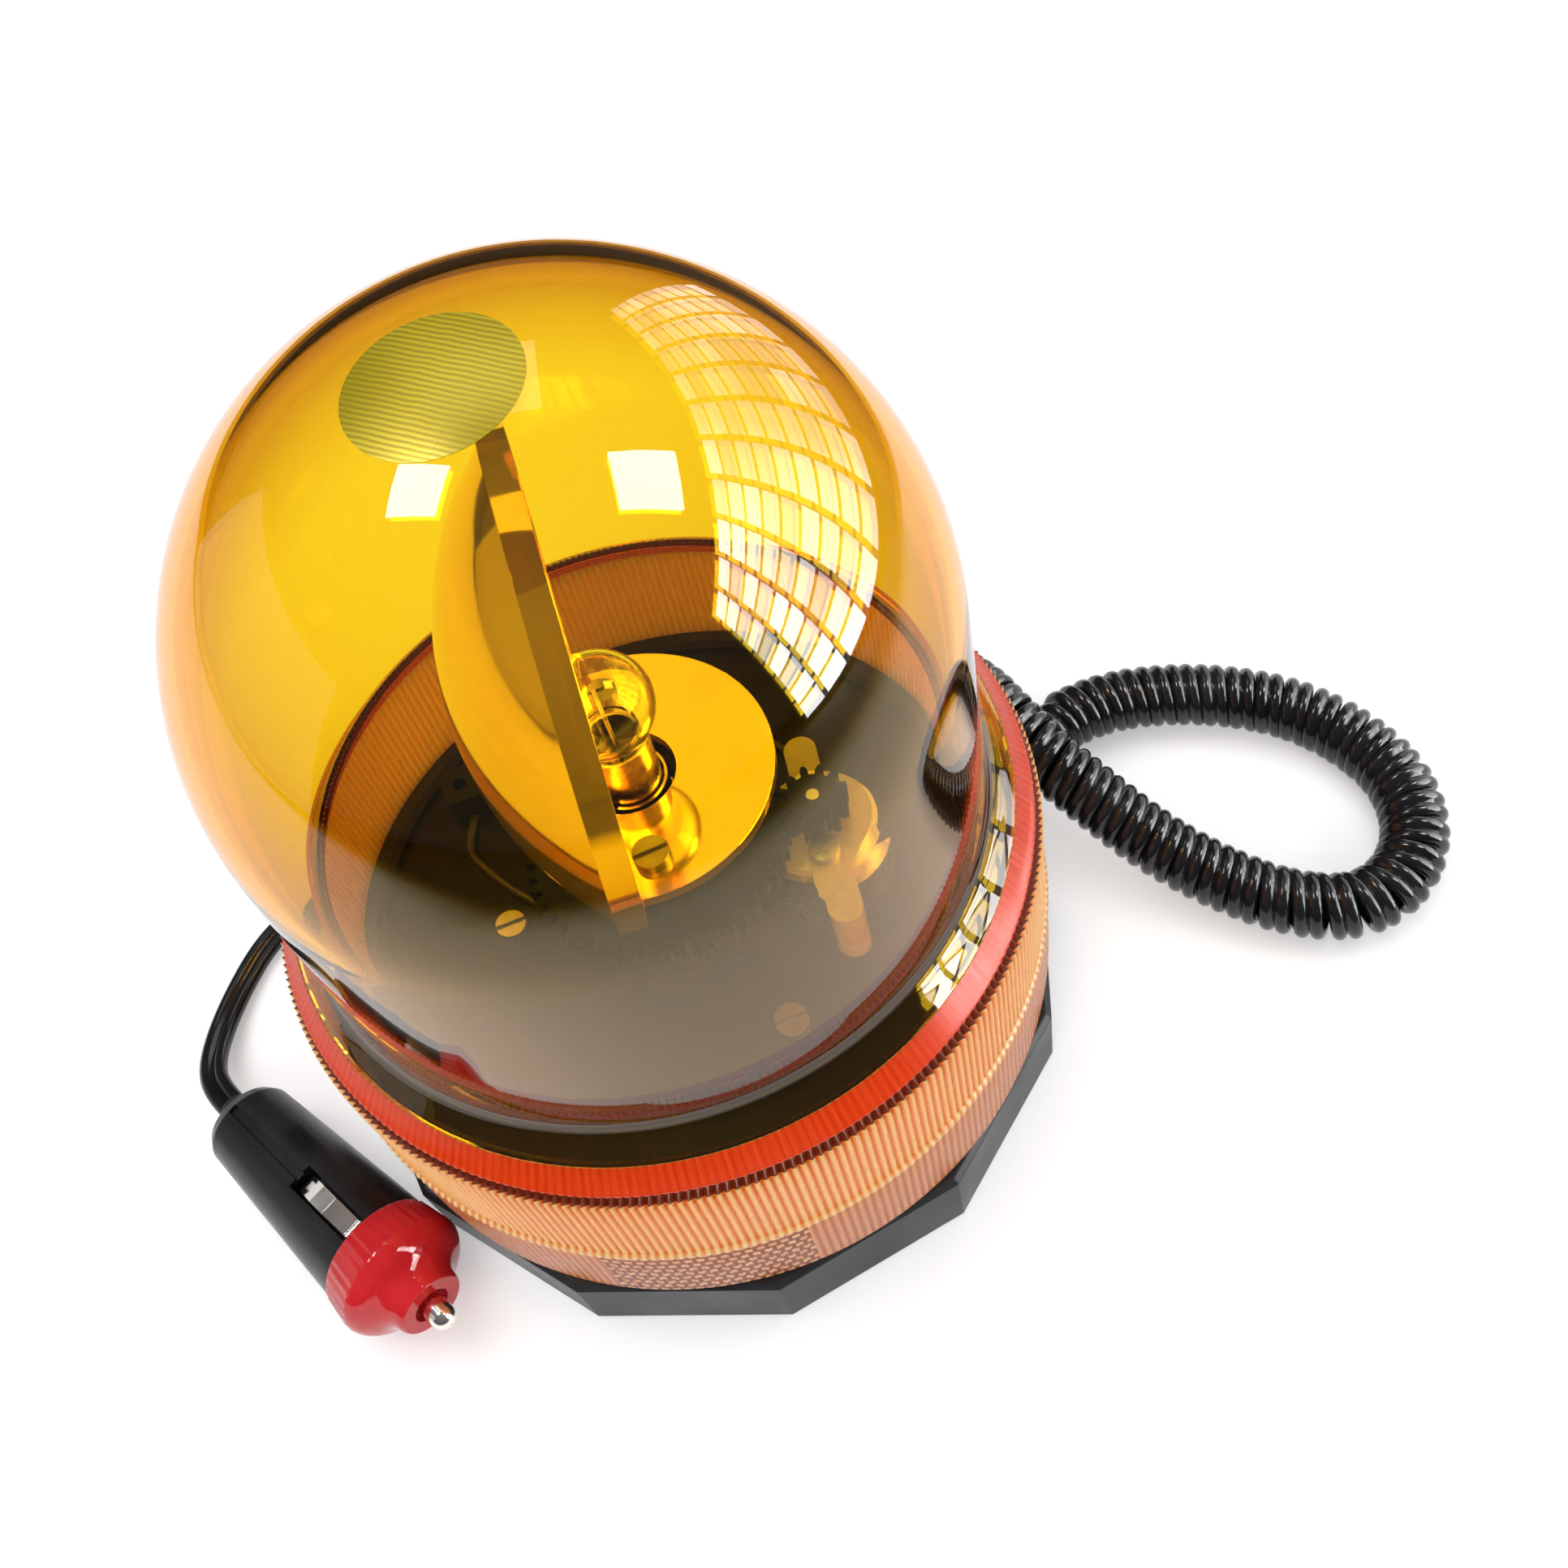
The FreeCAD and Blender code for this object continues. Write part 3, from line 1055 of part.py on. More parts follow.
node("fuse_caps", fuse(
    rod("fuse_radius", "fuse_back", "fuse_back + fuse_cap"),
    rod("fuse_radius", "tip_back - fuse_cap", "tip_back"),
), PLUG_POSE)
node("plug_spring", tube("fuse_radius", "fuse_radius - spring_wall", "bore_back", "fuse_back"), PLUG_POSE)


def leaf():
    """A side contact, bowed outwards, with a rolled eye at its held end."""
    crest_front = "leaf_crest_at + leaf_crest_length / 2"
    crest_back = "leaf_crest_at - leaf_crest_length / 2"
    bow = strip([
        ("leaf_root", eye_z), ("leaf_crest", crest_front), ("leaf_crest", crest_back),
        ("leaf_free", "leaf_back"), ("leaf_free - leaf_thick", "leaf_back"),
        ("leaf_crest - leaf_thick", crest_back),
        ("leaf_crest - leaf_thick", crest_front), ("leaf_root - leaf_thick", eye_z),
    ], "leaf_width")
    eye = solid("Cylinder", Radius="eye_radius", Height="leaf_width")
    lying = FreeCAD.Placement(
        FreeCAD.Vector(size(eye_x), size("leaf_width / 2"), size(eye_z)), FreeCAD.Rotation(ALONG_X, 90)
    )
    return fuse(bow, moved(eye, lying))


node("plug_leaf_lower", leaf(), PLUG_POSE)
node("plug_leaf_upper", leaf(), PLUG_POSE.multiply(HALF_TURN))

# Check every object, then write one file for each sub-part

doc.recompute()
for thing in doc.Objects:
    if {"Invalid", "Error"} & set(thing.State):
        raise RuntimeError(f"{thing.Label} ({thing.Name}) failed: {thing.State}")
for piece in nodes:
    if piece.Shape.isNull() or not piece.Shape.isValid():
        raise RuntimeError(f"{piece.Label} has no valid shape")
os.makedirs("parts", exist_ok=True)
for piece in nodes:
    piece.Shape.exportStep(f"parts/{piece.Label}.step")
    box = piece.Shape.BoundBox
    print(
        "%-18s %2d solids %9.1f mm3  x %.1f %.1f  y %.1f %.1f  z %.1f %.1f"
        % (piece.Label, len(piece.Shape.Solids), piece.Shape.Volume,
           box.XMin, box.XMax, box.YMin, box.YMax, box.ZMin, box.ZMax)
    )
print(len(nodes), "sub-parts")
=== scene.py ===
# %% [markdown]
# # A magnetic warning light
# The light stands on white paper: an amber dome over a turning reflector, a black twelve-sided foot
# with a magnet, a curly cord and a plug for a vehicle's lighter socket. The imported solids give every
# rigid piece its place, so this lesson starts by loading them.

# %% Load the frame
import json
import math
import bpy
import bmesh
from mathutils import Matrix, Vector


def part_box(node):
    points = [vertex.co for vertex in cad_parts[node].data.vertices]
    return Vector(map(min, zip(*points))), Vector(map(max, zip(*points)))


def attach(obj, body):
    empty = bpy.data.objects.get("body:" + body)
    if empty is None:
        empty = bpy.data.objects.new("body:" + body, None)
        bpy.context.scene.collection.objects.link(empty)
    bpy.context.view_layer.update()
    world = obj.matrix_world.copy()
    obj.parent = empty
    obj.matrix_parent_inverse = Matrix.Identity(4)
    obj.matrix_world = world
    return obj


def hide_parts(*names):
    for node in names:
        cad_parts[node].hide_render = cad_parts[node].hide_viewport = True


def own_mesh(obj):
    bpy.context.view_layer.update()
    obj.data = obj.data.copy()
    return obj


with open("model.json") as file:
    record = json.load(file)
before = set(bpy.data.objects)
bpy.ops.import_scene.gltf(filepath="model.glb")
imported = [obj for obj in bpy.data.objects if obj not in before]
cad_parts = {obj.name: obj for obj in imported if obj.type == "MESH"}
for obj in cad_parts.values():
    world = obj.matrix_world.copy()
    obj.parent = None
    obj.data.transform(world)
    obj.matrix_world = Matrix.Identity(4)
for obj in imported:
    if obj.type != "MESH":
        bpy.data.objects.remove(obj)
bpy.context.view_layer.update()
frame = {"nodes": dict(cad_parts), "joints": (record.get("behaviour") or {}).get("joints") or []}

MM = 0.001

# %% [markdown]
# ## The camera
# The picture was taken from above with a short lens, and the camera was rolled to one side. Three
# directions say which way it looks: to the right of the picture, up the picture, and into it. They
# become the columns of the camera's matrix, which is simpler than finding three angles.

# %% Camera
CAMERA_AT = Vector((0.0, -0.12827, 0.23525))
PICTURE_RIGHT = Vector((0.917750, -0.367203, -0.151316))
PICTURE_UP = Vector((0.387200, 0.742466, 0.546645))
PICTURE_IN = Vector((0.088383, 0.560273, -0.823579))

camera_data = bpy.data.cameras.new("photo_camera")
camera_data.sensor_width = 36.0
camera_data.lens = 36.15
camera_data.clip_start = 0.01
camera = bpy.data.objects.new("photo_camera", camera_data)
bpy.context.collection.objects.link(camera)
turn = Matrix((PICTURE_RIGHT, PICTURE_UP, -PICTURE_IN)).transposed().to_4x4()
camera.matrix_world = Matrix.Translation(CAMERA_AT) @ turn
bpy.context.scene.camera = camera
print("camera lens", camera_data.lens, "mm")

# %% [markdown]
# ## Finishes
# Every finish starts from one Principled shader. A few short helpers add a node, a noise, a spread of
# two colours or a bump, so that each finish below reads as a list of what the real surface does.

# %% Finish helpers
def add(tree, kind, **numbers):
    """A shader node with some of its inputs set."""
    made = tree.nodes.new("ShaderNode" + kind)
    for socket, number in numbers.items():
        made.inputs[socket.replace("_", " ")].default_value = number
    return made


def new_finish(name):
    """A material with a fresh Principled shader, its node tree and that shader."""
    finish = bpy.data.materials.new(name)
    finish.use_nodes = True
    tree = finish.node_tree
    tree.nodes.clear()
    output = add(tree, "OutputMaterial")
    shader = add(tree, "BsdfPrincipled")
    tree.links.new(shader.outputs["BSDF"], output.inputs["Surface"])
    return finish, tree, shader


def noise(tree, scale, detail=3.0, place=None):
    """A noise over the object's own metres, or over another place."""
    texture = add(tree, "TexNoise", Scale=scale, Detail=detail)
    if place is None:
        place = add(tree, "TexCoord").outputs["Object"]
    tree.links.new(place, texture.inputs["Vector"])
    return texture.outputs["Fac"]


def ramp(tree, factor, low, high, start=0.3, end=0.7):
    """Two colours spread over a factor."""
    mix = add(tree, "ValToRGB")
    mix.color_ramp.elements[0].position = start
    mix.color_ramp.elements[1].position = end
    mix.color_ramp.elements[0].color = (*low, 1.0)
    mix.color_ramp.elements[1].color = (*high, 1.0)
    tree.links.new(factor, mix.inputs["Fac"])
    return mix.outputs["Color"]


def spread(tree, factor, low, high, start=0.3, end=0.7):
    """A factor spread between two numbers."""
    reach = add(tree, "MapRange", From_Min=start, From_Max=end, To_Min=low, To_Max=high)
    tree.links.new(factor, reach.inputs["Value"])
    return reach.outputs["Result"]


def grain(tree, shader, height, strength, depth, edge=0.0):
    """A bump on the shader, over edges that are rounded by a small radius."""
    bump = add(tree, "Bump", Strength=strength, Distance=depth)
    tree.links.new(height, bump.inputs["Height"])
    if edge > 0.0:
        soft_edge = add(tree, "Bevel", Radius=edge)
        tree.links.new(soft_edge.outputs["Normal"], bump.inputs["Normal"])
    tree.links.new(bump.outputs["Normal"], shader.inputs["Normal"])


print("helpers ready")

# %% [markdown]
# Moulded plastic is never one even colour. A soft noise moves its colour and roughness a little, a
# finer noise gives the grain of the mould, and a small radius on the edges lets them catch light as
# real edges do. The radius is made by the shader, because the solids themselves stay as they are.

# %% Uneven finish
def uneven_finish(name, low, high, rough, patch, fine, depth, strength=0.3, edge=0.2 * MM, **sockets):
    """A finish whose colour and roughness drift, with a fine grain."""
    finish, tree, shader = new_finish(name)
    drift = noise(tree, patch)
    tree.links.new(ramp(tree, drift, low, high), shader.inputs["Base Color"])
    tree.links.new(spread(tree, drift, *rough), shader.inputs["Roughness"])
    grain(tree, shader, noise(tree, fine, 2.0), strength, depth, edge)
    for socket, value in sockets.items():
        shader.inputs[socket.replace("_", " ")].default_value = value
    return finish


slate_moulding = uneven_finish(
    "slate_moulding", (0.013, 0.014, 0.016), (0.026, 0.027, 0.030), rough=(0.26, 0.42),
    patch=70, fine=1800, depth=0.05 * MM, edge=0.5 * MM, Specular_IOR_Level=0.16)
deck_black = uneven_finish(
    "deck_black", (0.006, 0.006, 0.006), (0.013, 0.012, 0.011), rough=(0.4, 0.55),
    patch=80, fine=2500, depth=0.02 * MM, strength=0.1, Specular_IOR_Level=0.1)
gear_black = uneven_finish(
    "gear_black", (0.005, 0.005, 0.005), (0.010, 0.009, 0.008), rough=(0.3, 0.45),
    patch=120, fine=2500, depth=0.03 * MM, Specular_IOR_Level=0.1)
soft_black = uneven_finish(
    "soft_black", (0.010, 0.010, 0.011), (0.020, 0.020, 0.021), rough=(0.45, 0.6),
    patch=90, fine=3000, depth=0.03 * MM, Specular_IOR_Level=0.25)
cord_black = uneven_finish(
    "cord_black", (0.0045, 0.005, 0.006), (0.010, 0.0105, 0.012), rough=(0.13, 0.22),
    patch=120, fine=3500, depth=0.02 * MM, edge=0.0, Specular_IOR_Level=0.42)
plug_black = uneven_finish(
    "plug_black", (0.005, 0.005, 0.006), (0.011, 0.011, 0.012), rough=(0.24, 0.36),
    patch=120, fine=3200, depth=0.02 * MM, edge=0.35 * MM, Specular_IOR_Level=0.36)
lead_black = uneven_finish(
    "lead_black", (0.010, 0.010, 0.011), (0.022, 0.022, 0.023), rough=(0.35, 0.5),
    patch=200, fine=3000, depth=0.02 * MM)
print("black finishes made")

# %% [markdown]
# The other plain finishes: pale nylon for the motor's plate, zinc-plated steel, nickel, brass, dark
# ferrite for the magnet, and the red gloss of the plug's nose.

# %% Metals, nylon and red
nylon = uneven_finish(
    "nylon", (0.80, 0.70, 0.54), (0.92, 0.84, 0.68), rough=(0.2, 0.32),
    patch=150, fine=2500, depth=0.03 * MM, Coat_Weight=0.8, Coat_IOR=1.9)
steel = uneven_finish(
    "steel", (0.46, 0.46, 0.45), (0.60, 0.59, 0.57), rough=(0.22, 0.38),
    patch=240, fine=4000, depth=0.01 * MM, Metallic=1.0)
dull_steel = uneven_finish(
    "dull_steel", (0.22, 0.20, 0.17), (0.34, 0.31, 0.27), rough=(0.35, 0.5),
    patch=240, fine=4000, depth=0.01 * MM, Metallic=1.0)
nickel = uneven_finish(
    "nickel", (0.78, 0.75, 0.68), (0.88, 0.85, 0.79), rough=(0.12, 0.2),
    patch=200, fine=3000, depth=0.004 * MM, strength=0.1, Metallic=1.0)
brass = uneven_finish(
    "brass", (0.66, 0.44, 0.16), (0.84, 0.62, 0.28), rough=(0.16, 0.3),
    patch=260, fine=4000, depth=0.01 * MM, Metallic=1.0)
ferrite = uneven_finish(
    "ferrite", (0.05, 0.05, 0.052), (0.085, 0.085, 0.09), rough=(0.5, 0.65),
    patch=160, fine=2500, depth=0.05 * MM)
red_gloss = uneven_finish(
    "red_gloss", (0.50, 0.012, 0.016), (0.64, 0.022, 0.026), rough=(0.03, 0.09),
    patch=120, fine=2600, depth=0.01 * MM, strength=0.1)
print("metals, nylon and red made")

# %% [markdown]
# Each solid of the model now gets its finish. One table lists them by finish, so that a look can be
# changed in one place. The screws of deck, spindle and reflector are duller than the other steel.

# %% Dress the solids
CAD_FINISHES = {
    slate_moulding: ["base_housing"],
    deck_black: ["deck_plate", "lamp_spindle", "terminal_block"],
    gear_black: ["rotor_gear", "motor_pinion"],
    soft_black: ["motor_end_cap", "holder_insulator", "bulb_base", "magnet_pad", "lens_gasket",
                 "cord_gland", "plug_boot"],
    nylon: ["motor_mount"],
    ferrite: ["magnet_ring"],
    steel: ["magnet_pot", "magnet_pole", "magnet_screws", "motor_can", "motor_shaft", "thrust_washer",
            "retaining_clip", "motor_screws"],
    dull_steel: ["deck_screws", "spindle_screws", "reflector_screws"],
    nickel: ["plug_leaf_lower", "plug_leaf_upper", "plug_tip", "fuse_caps"],
    brass: ["lamp_holder", "holder_contact", "bulb_cap", "motor_terminals"],
    lead_black: ["inner_lead_live", "inner_lead_return"],
    plug_black: ["plug_body"],
}


def dress(node_name, finish):
    """Give a solid of the model one finish."""
    mesh = frame["nodes"][node_name].data
    mesh.materials.clear()
    mesh.materials.append(finish)


for finish, node_names in CAD_FINISHES.items():
    for node_name in node_names:
        dress(node_name, finish)
print(sum(len(names) for names in CAD_FINISHES.values()), "solids dressed")

# %% [markdown]
# ## The curly cord
# The supply cord is a flat twin cord: two round cores side by side in one black skin. It is wound on a
# rod and baked, so it keeps its coil. One smooth spline gives the route on the table, from the foot to
# the plug. Blender turns that spline into points, which later carry the coil.

# %% Cord route
GLAND_MOUTH = (60.937, 14.833, 6.8)
COIL_ROUTE = [
    (67.5, 15.55, 6.0), (74.0, 17.4, 5.7), (83.0, 17.2, 5.7), (93.0, 13.6, 5.7), (102.1, 8.1, 5.7),
    (109.6, 1.0, 5.7), (114.8, -8.2, 5.7), (117.0, -18.6, 5.7), (113.9, -28.8, 5.7), (106.6, -35.4, 5.7),
    (97.6, -36.6, 5.7), (88.6, -31.2, 5.8), (81.0, -22.6, 6.8), (74.6, -13.8, 9.2), (69.4, -4.6, 12.8),
    (64.8, 4.0, 16.4), (61.9, 13.4, 18.2), (60.4, 23.6, 17.0), (56.2, 35.2, 12.4), (47.4, 47.6, 7.6),
    (34.4, 57.8, 5.8), (18.6, 64.2, 5.7), (1.6, 66.8, 5.7), (-14.8, 65.4, 5.7), (-28.6, 60.4, 5.7),
    (-37.5, 55.2, 5.7),
]
TAIL_ROUTE = [
    (-45.4, 51.2, 4.4), (-54.2, 48.6, 2.6), (-62.8, 46.6, 1.9), (-71.0, 42.2, 1.9), (-77.2, 35.4, 1.9),
    (-81.6, 27.8, 3.0), (-83.4, 20.4, 5.4), (-82.47, 14.15, 7.62), (-80.2, 9.7, 7.902),
]
SPLINE_STEPS = 24
route_points = [Vector(point) * MM for point in [GLAND_MOUTH] + COIL_ROUTE + TAIL_ROUTE]


def spline_points(points, steps):
    """Points read from a smooth spline that has the given ones as its control points."""
    line = bpy.data.curves.new("route", "CURVE")
    line.dimensions = "3D"
    spline = line.splines.new("NURBS")
    spline.points.add(len(points) - 1)
    for place, point in zip(spline.points, points):
        place.co = (*point, 1.0)
    spline.order_u = 3
    spline.use_endpoint_u = True
    spline.resolution_u = steps
    carrier = bpy.data.objects.new("route", line)
    bpy.context.collection.objects.link(carrier)
    mesh = bpy.data.meshes.new_from_object(carrier)
    read = [vertex.co.copy() for vertex in mesh.vertices]
    bpy.data.objects.remove(carrier)
    bpy.data.curves.remove(line)
    bpy.data.meshes.remove(mesh)
    return read


spline_line = spline_points(route_points, SPLINE_STEPS)
print("points read from the spline:", len(spline_line))

# %% [markdown]
# The coil's turns have to lie at an even distance, so the line is read once more at an even step. The
# step is fine enough for two dozen points in each turn. The coil starts just outside the gland and ends
# where the tail begins.

# %% Even steps along the route
ROUTE_STEP = 0.2 * MM
PLAIN_LEAD = 1.4 * MM


def even_points(points, step):
    """The same line with its points an even step apart."""
    kept = [points[0]]
    left = step
    for before, after in zip(points, points[1:]):
        run = (after - before).length
        while run > left:
            before = before.lerp(after, left / run)
            kept.append(before)
            run -= left
            left = step
        left -= run
    kept.append(points[-1])
    return kept


def nearest(points, place):
    """Which point lies nearest to a place."""
    return min(range(len(points)), key=lambda index: (points[index] - place).length)


route = even_points(spline_line, ROUTE_STEP)
coil_start = int(PLAIN_LEAD / ROUTE_STEP)
coil_end = nearest(route, route_points[len(COIL_ROUTE)])
coil_run = (coil_end - coil_start) * ROUTE_STEP
print("route", round(len(route) * ROUTE_STEP, 3), "m, coil", round(coil_run, 3), "m")

# %% [markdown]
# A helix needs two directions square to the route at each point. They are carried along from point to
# point, each time only made square again, so that they never twist about the route as directions taken
# from its bends would.

# %% Carried directions
UP = Vector((0.0, 0.0, 1.0))


def carried_frames(points):
    """Tangent and two square directions at each point, carried along without twist."""
    frames = []
    side = None
    for index in range(len(points)):
        before = points[max(index - 1, 0)]
        after = points[min(index + 1, len(points) - 1)]
        tangent = (after - before).normalized()
        side = tangent.cross(UP) if side is None else side
        side = (side - tangent * side.dot(tangent)).normalized()
        frames.append((tangent, side, tangent.cross(side)))
    return frames


directions = carried_frames(route)
print("directions at", len(directions), "points")

# %% [markdown]
# The helix turns in these directions. At both ends it shrinks into the plain cord and turns more
# slowly, so that no bend gets tight. The flat side of the cord is turned to the coil's axis, as on a
# cord that was wound on a rod, and lies on the table in the tail.

# %% Helix
COIL_RADIUS = 4.25 * MM
COIL_PITCH = 4.8 * MM
SWELL_TURNS = 2.5


def smooth_step(value):
    """A soft ramp from 0 to 1."""
    value = min(max(value, 0.0), 1.0)
    return value * value * (3.0 - 2.0 * value)


helix = []
flat_ways = []
angle = 0.0
swell_steps = int(SWELL_TURNS * COIL_PITCH / ROUTE_STEP)
for index, (point, (tangent, side, over)) in enumerate(zip(route, directions)):
    swell = smooth_step((index - coil_start) / swell_steps) * smooth_step((coil_end - index) / swell_steps)
    angle += 2.0 * math.pi * swell * ROUTE_STEP / COIL_PITCH
    out = math.cos(angle) * side + math.sin(angle) * over
    helix.append(point + out * (COIL_RADIUS * swell))
    on_table = tangent.cross(UP).normalized()
    flat_ways.append((on_table * (1.0 - swell) + tangent * swell).normalized())
cord_length = sum((after - before).length for before, after in zip(helix, helix[1:]))
print("cord", round(cord_length, 3), "m in", round(angle / (2.0 * math.pi)), "turns")

# %% [markdown]
# A bevelled curve would let the flat section twist, so the cord is swept by hand: at each point of the
# helix a figure-eight outline is placed square to the line, and neighbouring outlines are joined by
# faces.

# %% Twin cord
CORE_RADIUS = 1.2 * MM
CORE_OFFSET = 1.2 * MM
CORE_ARC = 164.0
CORE_CORNERS = 11


def figure_eight(count):
    """Outline of two round cores that touch, as along and across offsets."""
    outline = []
    for core in (1.0, -1.0):
        for step in range(count):
            angle = math.radians(-CORE_ARC + 2.0 * CORE_ARC * step / (count - 1))
            along = core * (CORE_OFFSET + CORE_RADIUS * math.cos(angle))
            outline.append((along, core * CORE_RADIUS * math.sin(angle)))
    return outline


def swept_mesh(name, points, ring):
    """A closed tube from outlines of equally many points, one after another."""
    faces = [tuple(reversed(range(ring))), tuple(range(len(points) - ring, len(points)))]
    for first in range(0, len(points) - ring, ring):
        for corner in range(ring):
            here, beside = first + corner, first + (corner + 1) % ring
            faces.append((here, beside, beside + ring, here + ring))
    mesh = bpy.data.meshes.new(name)
    mesh.from_pydata(points, [], faces)
    mesh.polygons.foreach_set("use_smooth", [True] * len(faces))
    return mesh


section = figure_eight(CORE_CORNERS)
cord_points = []
for index, point in enumerate(helix):
    ahead = (helix[min(index + 1, len(helix) - 1)] - helix[max(index - 1, 0)]).normalized()
    along = flat_ways[index]
    along = (along - ahead * along.dot(ahead)).normalized()
    across = ahead.cross(along)
    cord_points += [point + along * u + across * v for u, v in section]
cord_mesh = swept_mesh("twin_cord", cord_points, len(section))
print("cord faces", len(cord_mesh.polygons))

# %% [markdown]
# Every new piece is linked, dressed and tied to the body that it moves with, and the solids that it
# stands for are hidden.

# %% Piece helper
def piece(name, mesh, finishes, body, stands_for=()):
    """A mesh as a piece of the light that moves with a body."""
    for finish in finishes:
        mesh.materials.append(finish)
    made = bpy.data.objects.new(name, mesh)
    bpy.context.collection.objects.link(made)
    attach(made, body)
    if stands_for:
        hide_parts(*stands_for)
    return made


twin_cord = piece(
    "twin_cord", cord_mesh, [cord_black], "base", ["cord_lead", "cord_coil", "cord_tail"])
print("cord placed")

# %% [markdown]
# ## The plug
# The plug's nose and the parts of the lens are turned shapes: an outline of radius and height goes
# round the axis in many columns. A small function may push each point in or out, which gives ribs and
# teeth. Joining the last row to the first closes the wall.

# %% Turned shells
def turned_mesh(name, outline, columns, push=None):
    """A closed wall turned about Z from an outline in millimetres."""
    points = []
    for row, (radius, height) in enumerate(outline):
        for column in range(columns):
            angle = 2.0 * math.pi * column / columns
            out, up = push(row, column) if push else (0.0, 0.0)
            reach = (radius + out) * MM
            points.append((reach * math.cos(angle), reach * math.sin(angle), (height + up) * MM))
    faces = []
    rows = len(outline)
    for row in range(rows):
        here, above = row * columns, (row + 1) % rows * columns
        for column in range(columns):
            beside = (column + 1) % columns
            faces.append((here + column, here + beside, above + beside, above + column))
    mesh = bpy.data.meshes.new(name)
    mesh.from_pydata(points, [], faces)
    mesh.polygons.foreach_set("use_smooth", [True] * len(faces))
    return mesh


MESH_CREASE, DOME_CREASE, SOLID_CREASE = 40.0, 24.0, 32.0


def crease(thing, degrees):
    """Split edges that are sharper than an angle, so that smooth shading stops there."""
    split = thing.modifiers.new("crease", "EDGE_SPLIT")
    split.split_angle = math.radians(degrees)


print("turned shells ready")

# %% [markdown]
# The red nose screws onto the plug and turns. Its ring has fine ribs for the fingers, and in front of
# the ring the nose narrows in a hollow curve to a short mouth with a recess. Heights are counted from
# the middle of the ring, where the nose's joint has its place.

# %% Ribbed nose
NOSE_RIBS, RIB_COLUMNS, NOSE_RIB_DEPTH = 36, 4, 0.22
RIBBED_ROWS = (1, 2)
joints = {joint["name"]: joint for joint in frame["joints"]}
nose_outline = [
    (9.3, -3.0), (9.6, -2.7), (10.35, 2.5), (10.3, 2.9), (10.1, 3.5), (9.8, 4.1), (9.35, 4.7), (8.7, 5.3),
    (7.9, 5.8), (7.1, 6.3), (6.4, 6.9), (5.85, 7.7), (5.5, 8.6), (5.35, 9.6), (5.0, 10.0), (2.9, 10.0),
    (2.9, 8.8), (2.3, 8.8), (2.3, 6.2), (4.1, 6.2), (4.1, 2.2), (7.8, 2.2), (7.8, -3.0),
]


def nose_push(row, column):
    """Sink the ring between its ribs."""
    sunk = row in RIBBED_ROWS and column % RIB_COLUMNS
    return (-NOSE_RIB_DEPTH, 0.0) if sunk else (0.0, 0.0)


nose_mesh = turned_mesh("ribbed_nose", nose_outline, NOSE_RIBS * RIB_COLUMNS, nose_push)
nose_turn = Vector(joints["nose_turn"]["axis"]).to_track_quat("Z", "Y").to_matrix().to_4x4()
nose_mesh.transform(Matrix.Translation(Vector(joints["nose_turn"]["pos_m"])) @ nose_turn)
ribbed_nose = piece("ribbed_nose", nose_mesh, [red_gloss], "nose", ["plug_nose"])
crease(ribbed_nose, MESH_CREASE)
print("nose ribs", NOSE_RIBS)

# %% [markdown]
# Two small wire springs carry contacts: one under the bulb, one behind the fuse in the plug. Each is a
# helix with a flat half turn at both ends, as long and as wide as the sleeve that holds its place in
# the model.

# %% Wire springs
WIRE_RADIUS, WIRE_CORNERS, WIRE_PITCH = 0.3 * MM, 10, 1.2 * MM
FLAT_TURNS, TURN_STEPS = 0.5, 40


def wire_spring(name, node_name, joint):
    """A spring in the place of a sleeve, along the axis of a joint."""
    axis = Vector(joint["axis"]).normalized()
    low, high = (Vector(corner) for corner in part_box(node_name))
    offsets = [vertex.co - (low + high) / 2.0 for vertex in frame["nodes"][node_name].data.vertices]
    half = max(offset.dot(axis) for offset in offsets)
    radius = max(offset.cross(axis).length for offset in offsets) - WIRE_RADIUS
    foot = (low + high) / 2.0 - axis * half
    side = axis.orthogonal().normalized()
    over = axis.cross(side)
    climb = 2.0 * (half - WIRE_RADIUS)
    turns = climb / WIRE_PITCH + 2.0 * FLAT_TURNS
    ring_count = round(turns * TURN_STEPS) + 1
    points = []
    for ring_index in range(ring_count):
        turned = turns * ring_index / (ring_count - 1)
        share = min(max((turned - FLAT_TURNS) / (turns - 2.0 * FLAT_TURNS), 0.0), 1.0)
        out = side * math.cos(2.0 * math.pi * turned) + over * math.sin(2.0 * math.pi * turned)
        centre = foot + out * radius + axis * (WIRE_RADIUS + climb * share)
        for corner in range(WIRE_CORNERS):
            way = 2.0 * math.pi * corner / WIRE_CORNERS
            points.append(centre + (out * math.cos(way) - axis * math.sin(way)) * WIRE_RADIUS)
    mesh = swept_mesh(name, points, WIRE_CORNERS)
    made = piece(name, mesh, [steel], "base", [node_name])
    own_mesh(made)
    print(name, round(2.0 * half / MM, 1), "mm long,", round(turns, 1), "turns")
    return made


wire_spring("contact_spring", "holder_spring", joints["contact_press"])
fuse_spring = wire_spring("fuse_spring", "plug_spring", joints["tip_press"])

# %% [markdown]

# %% Cord facts
print("cord done")
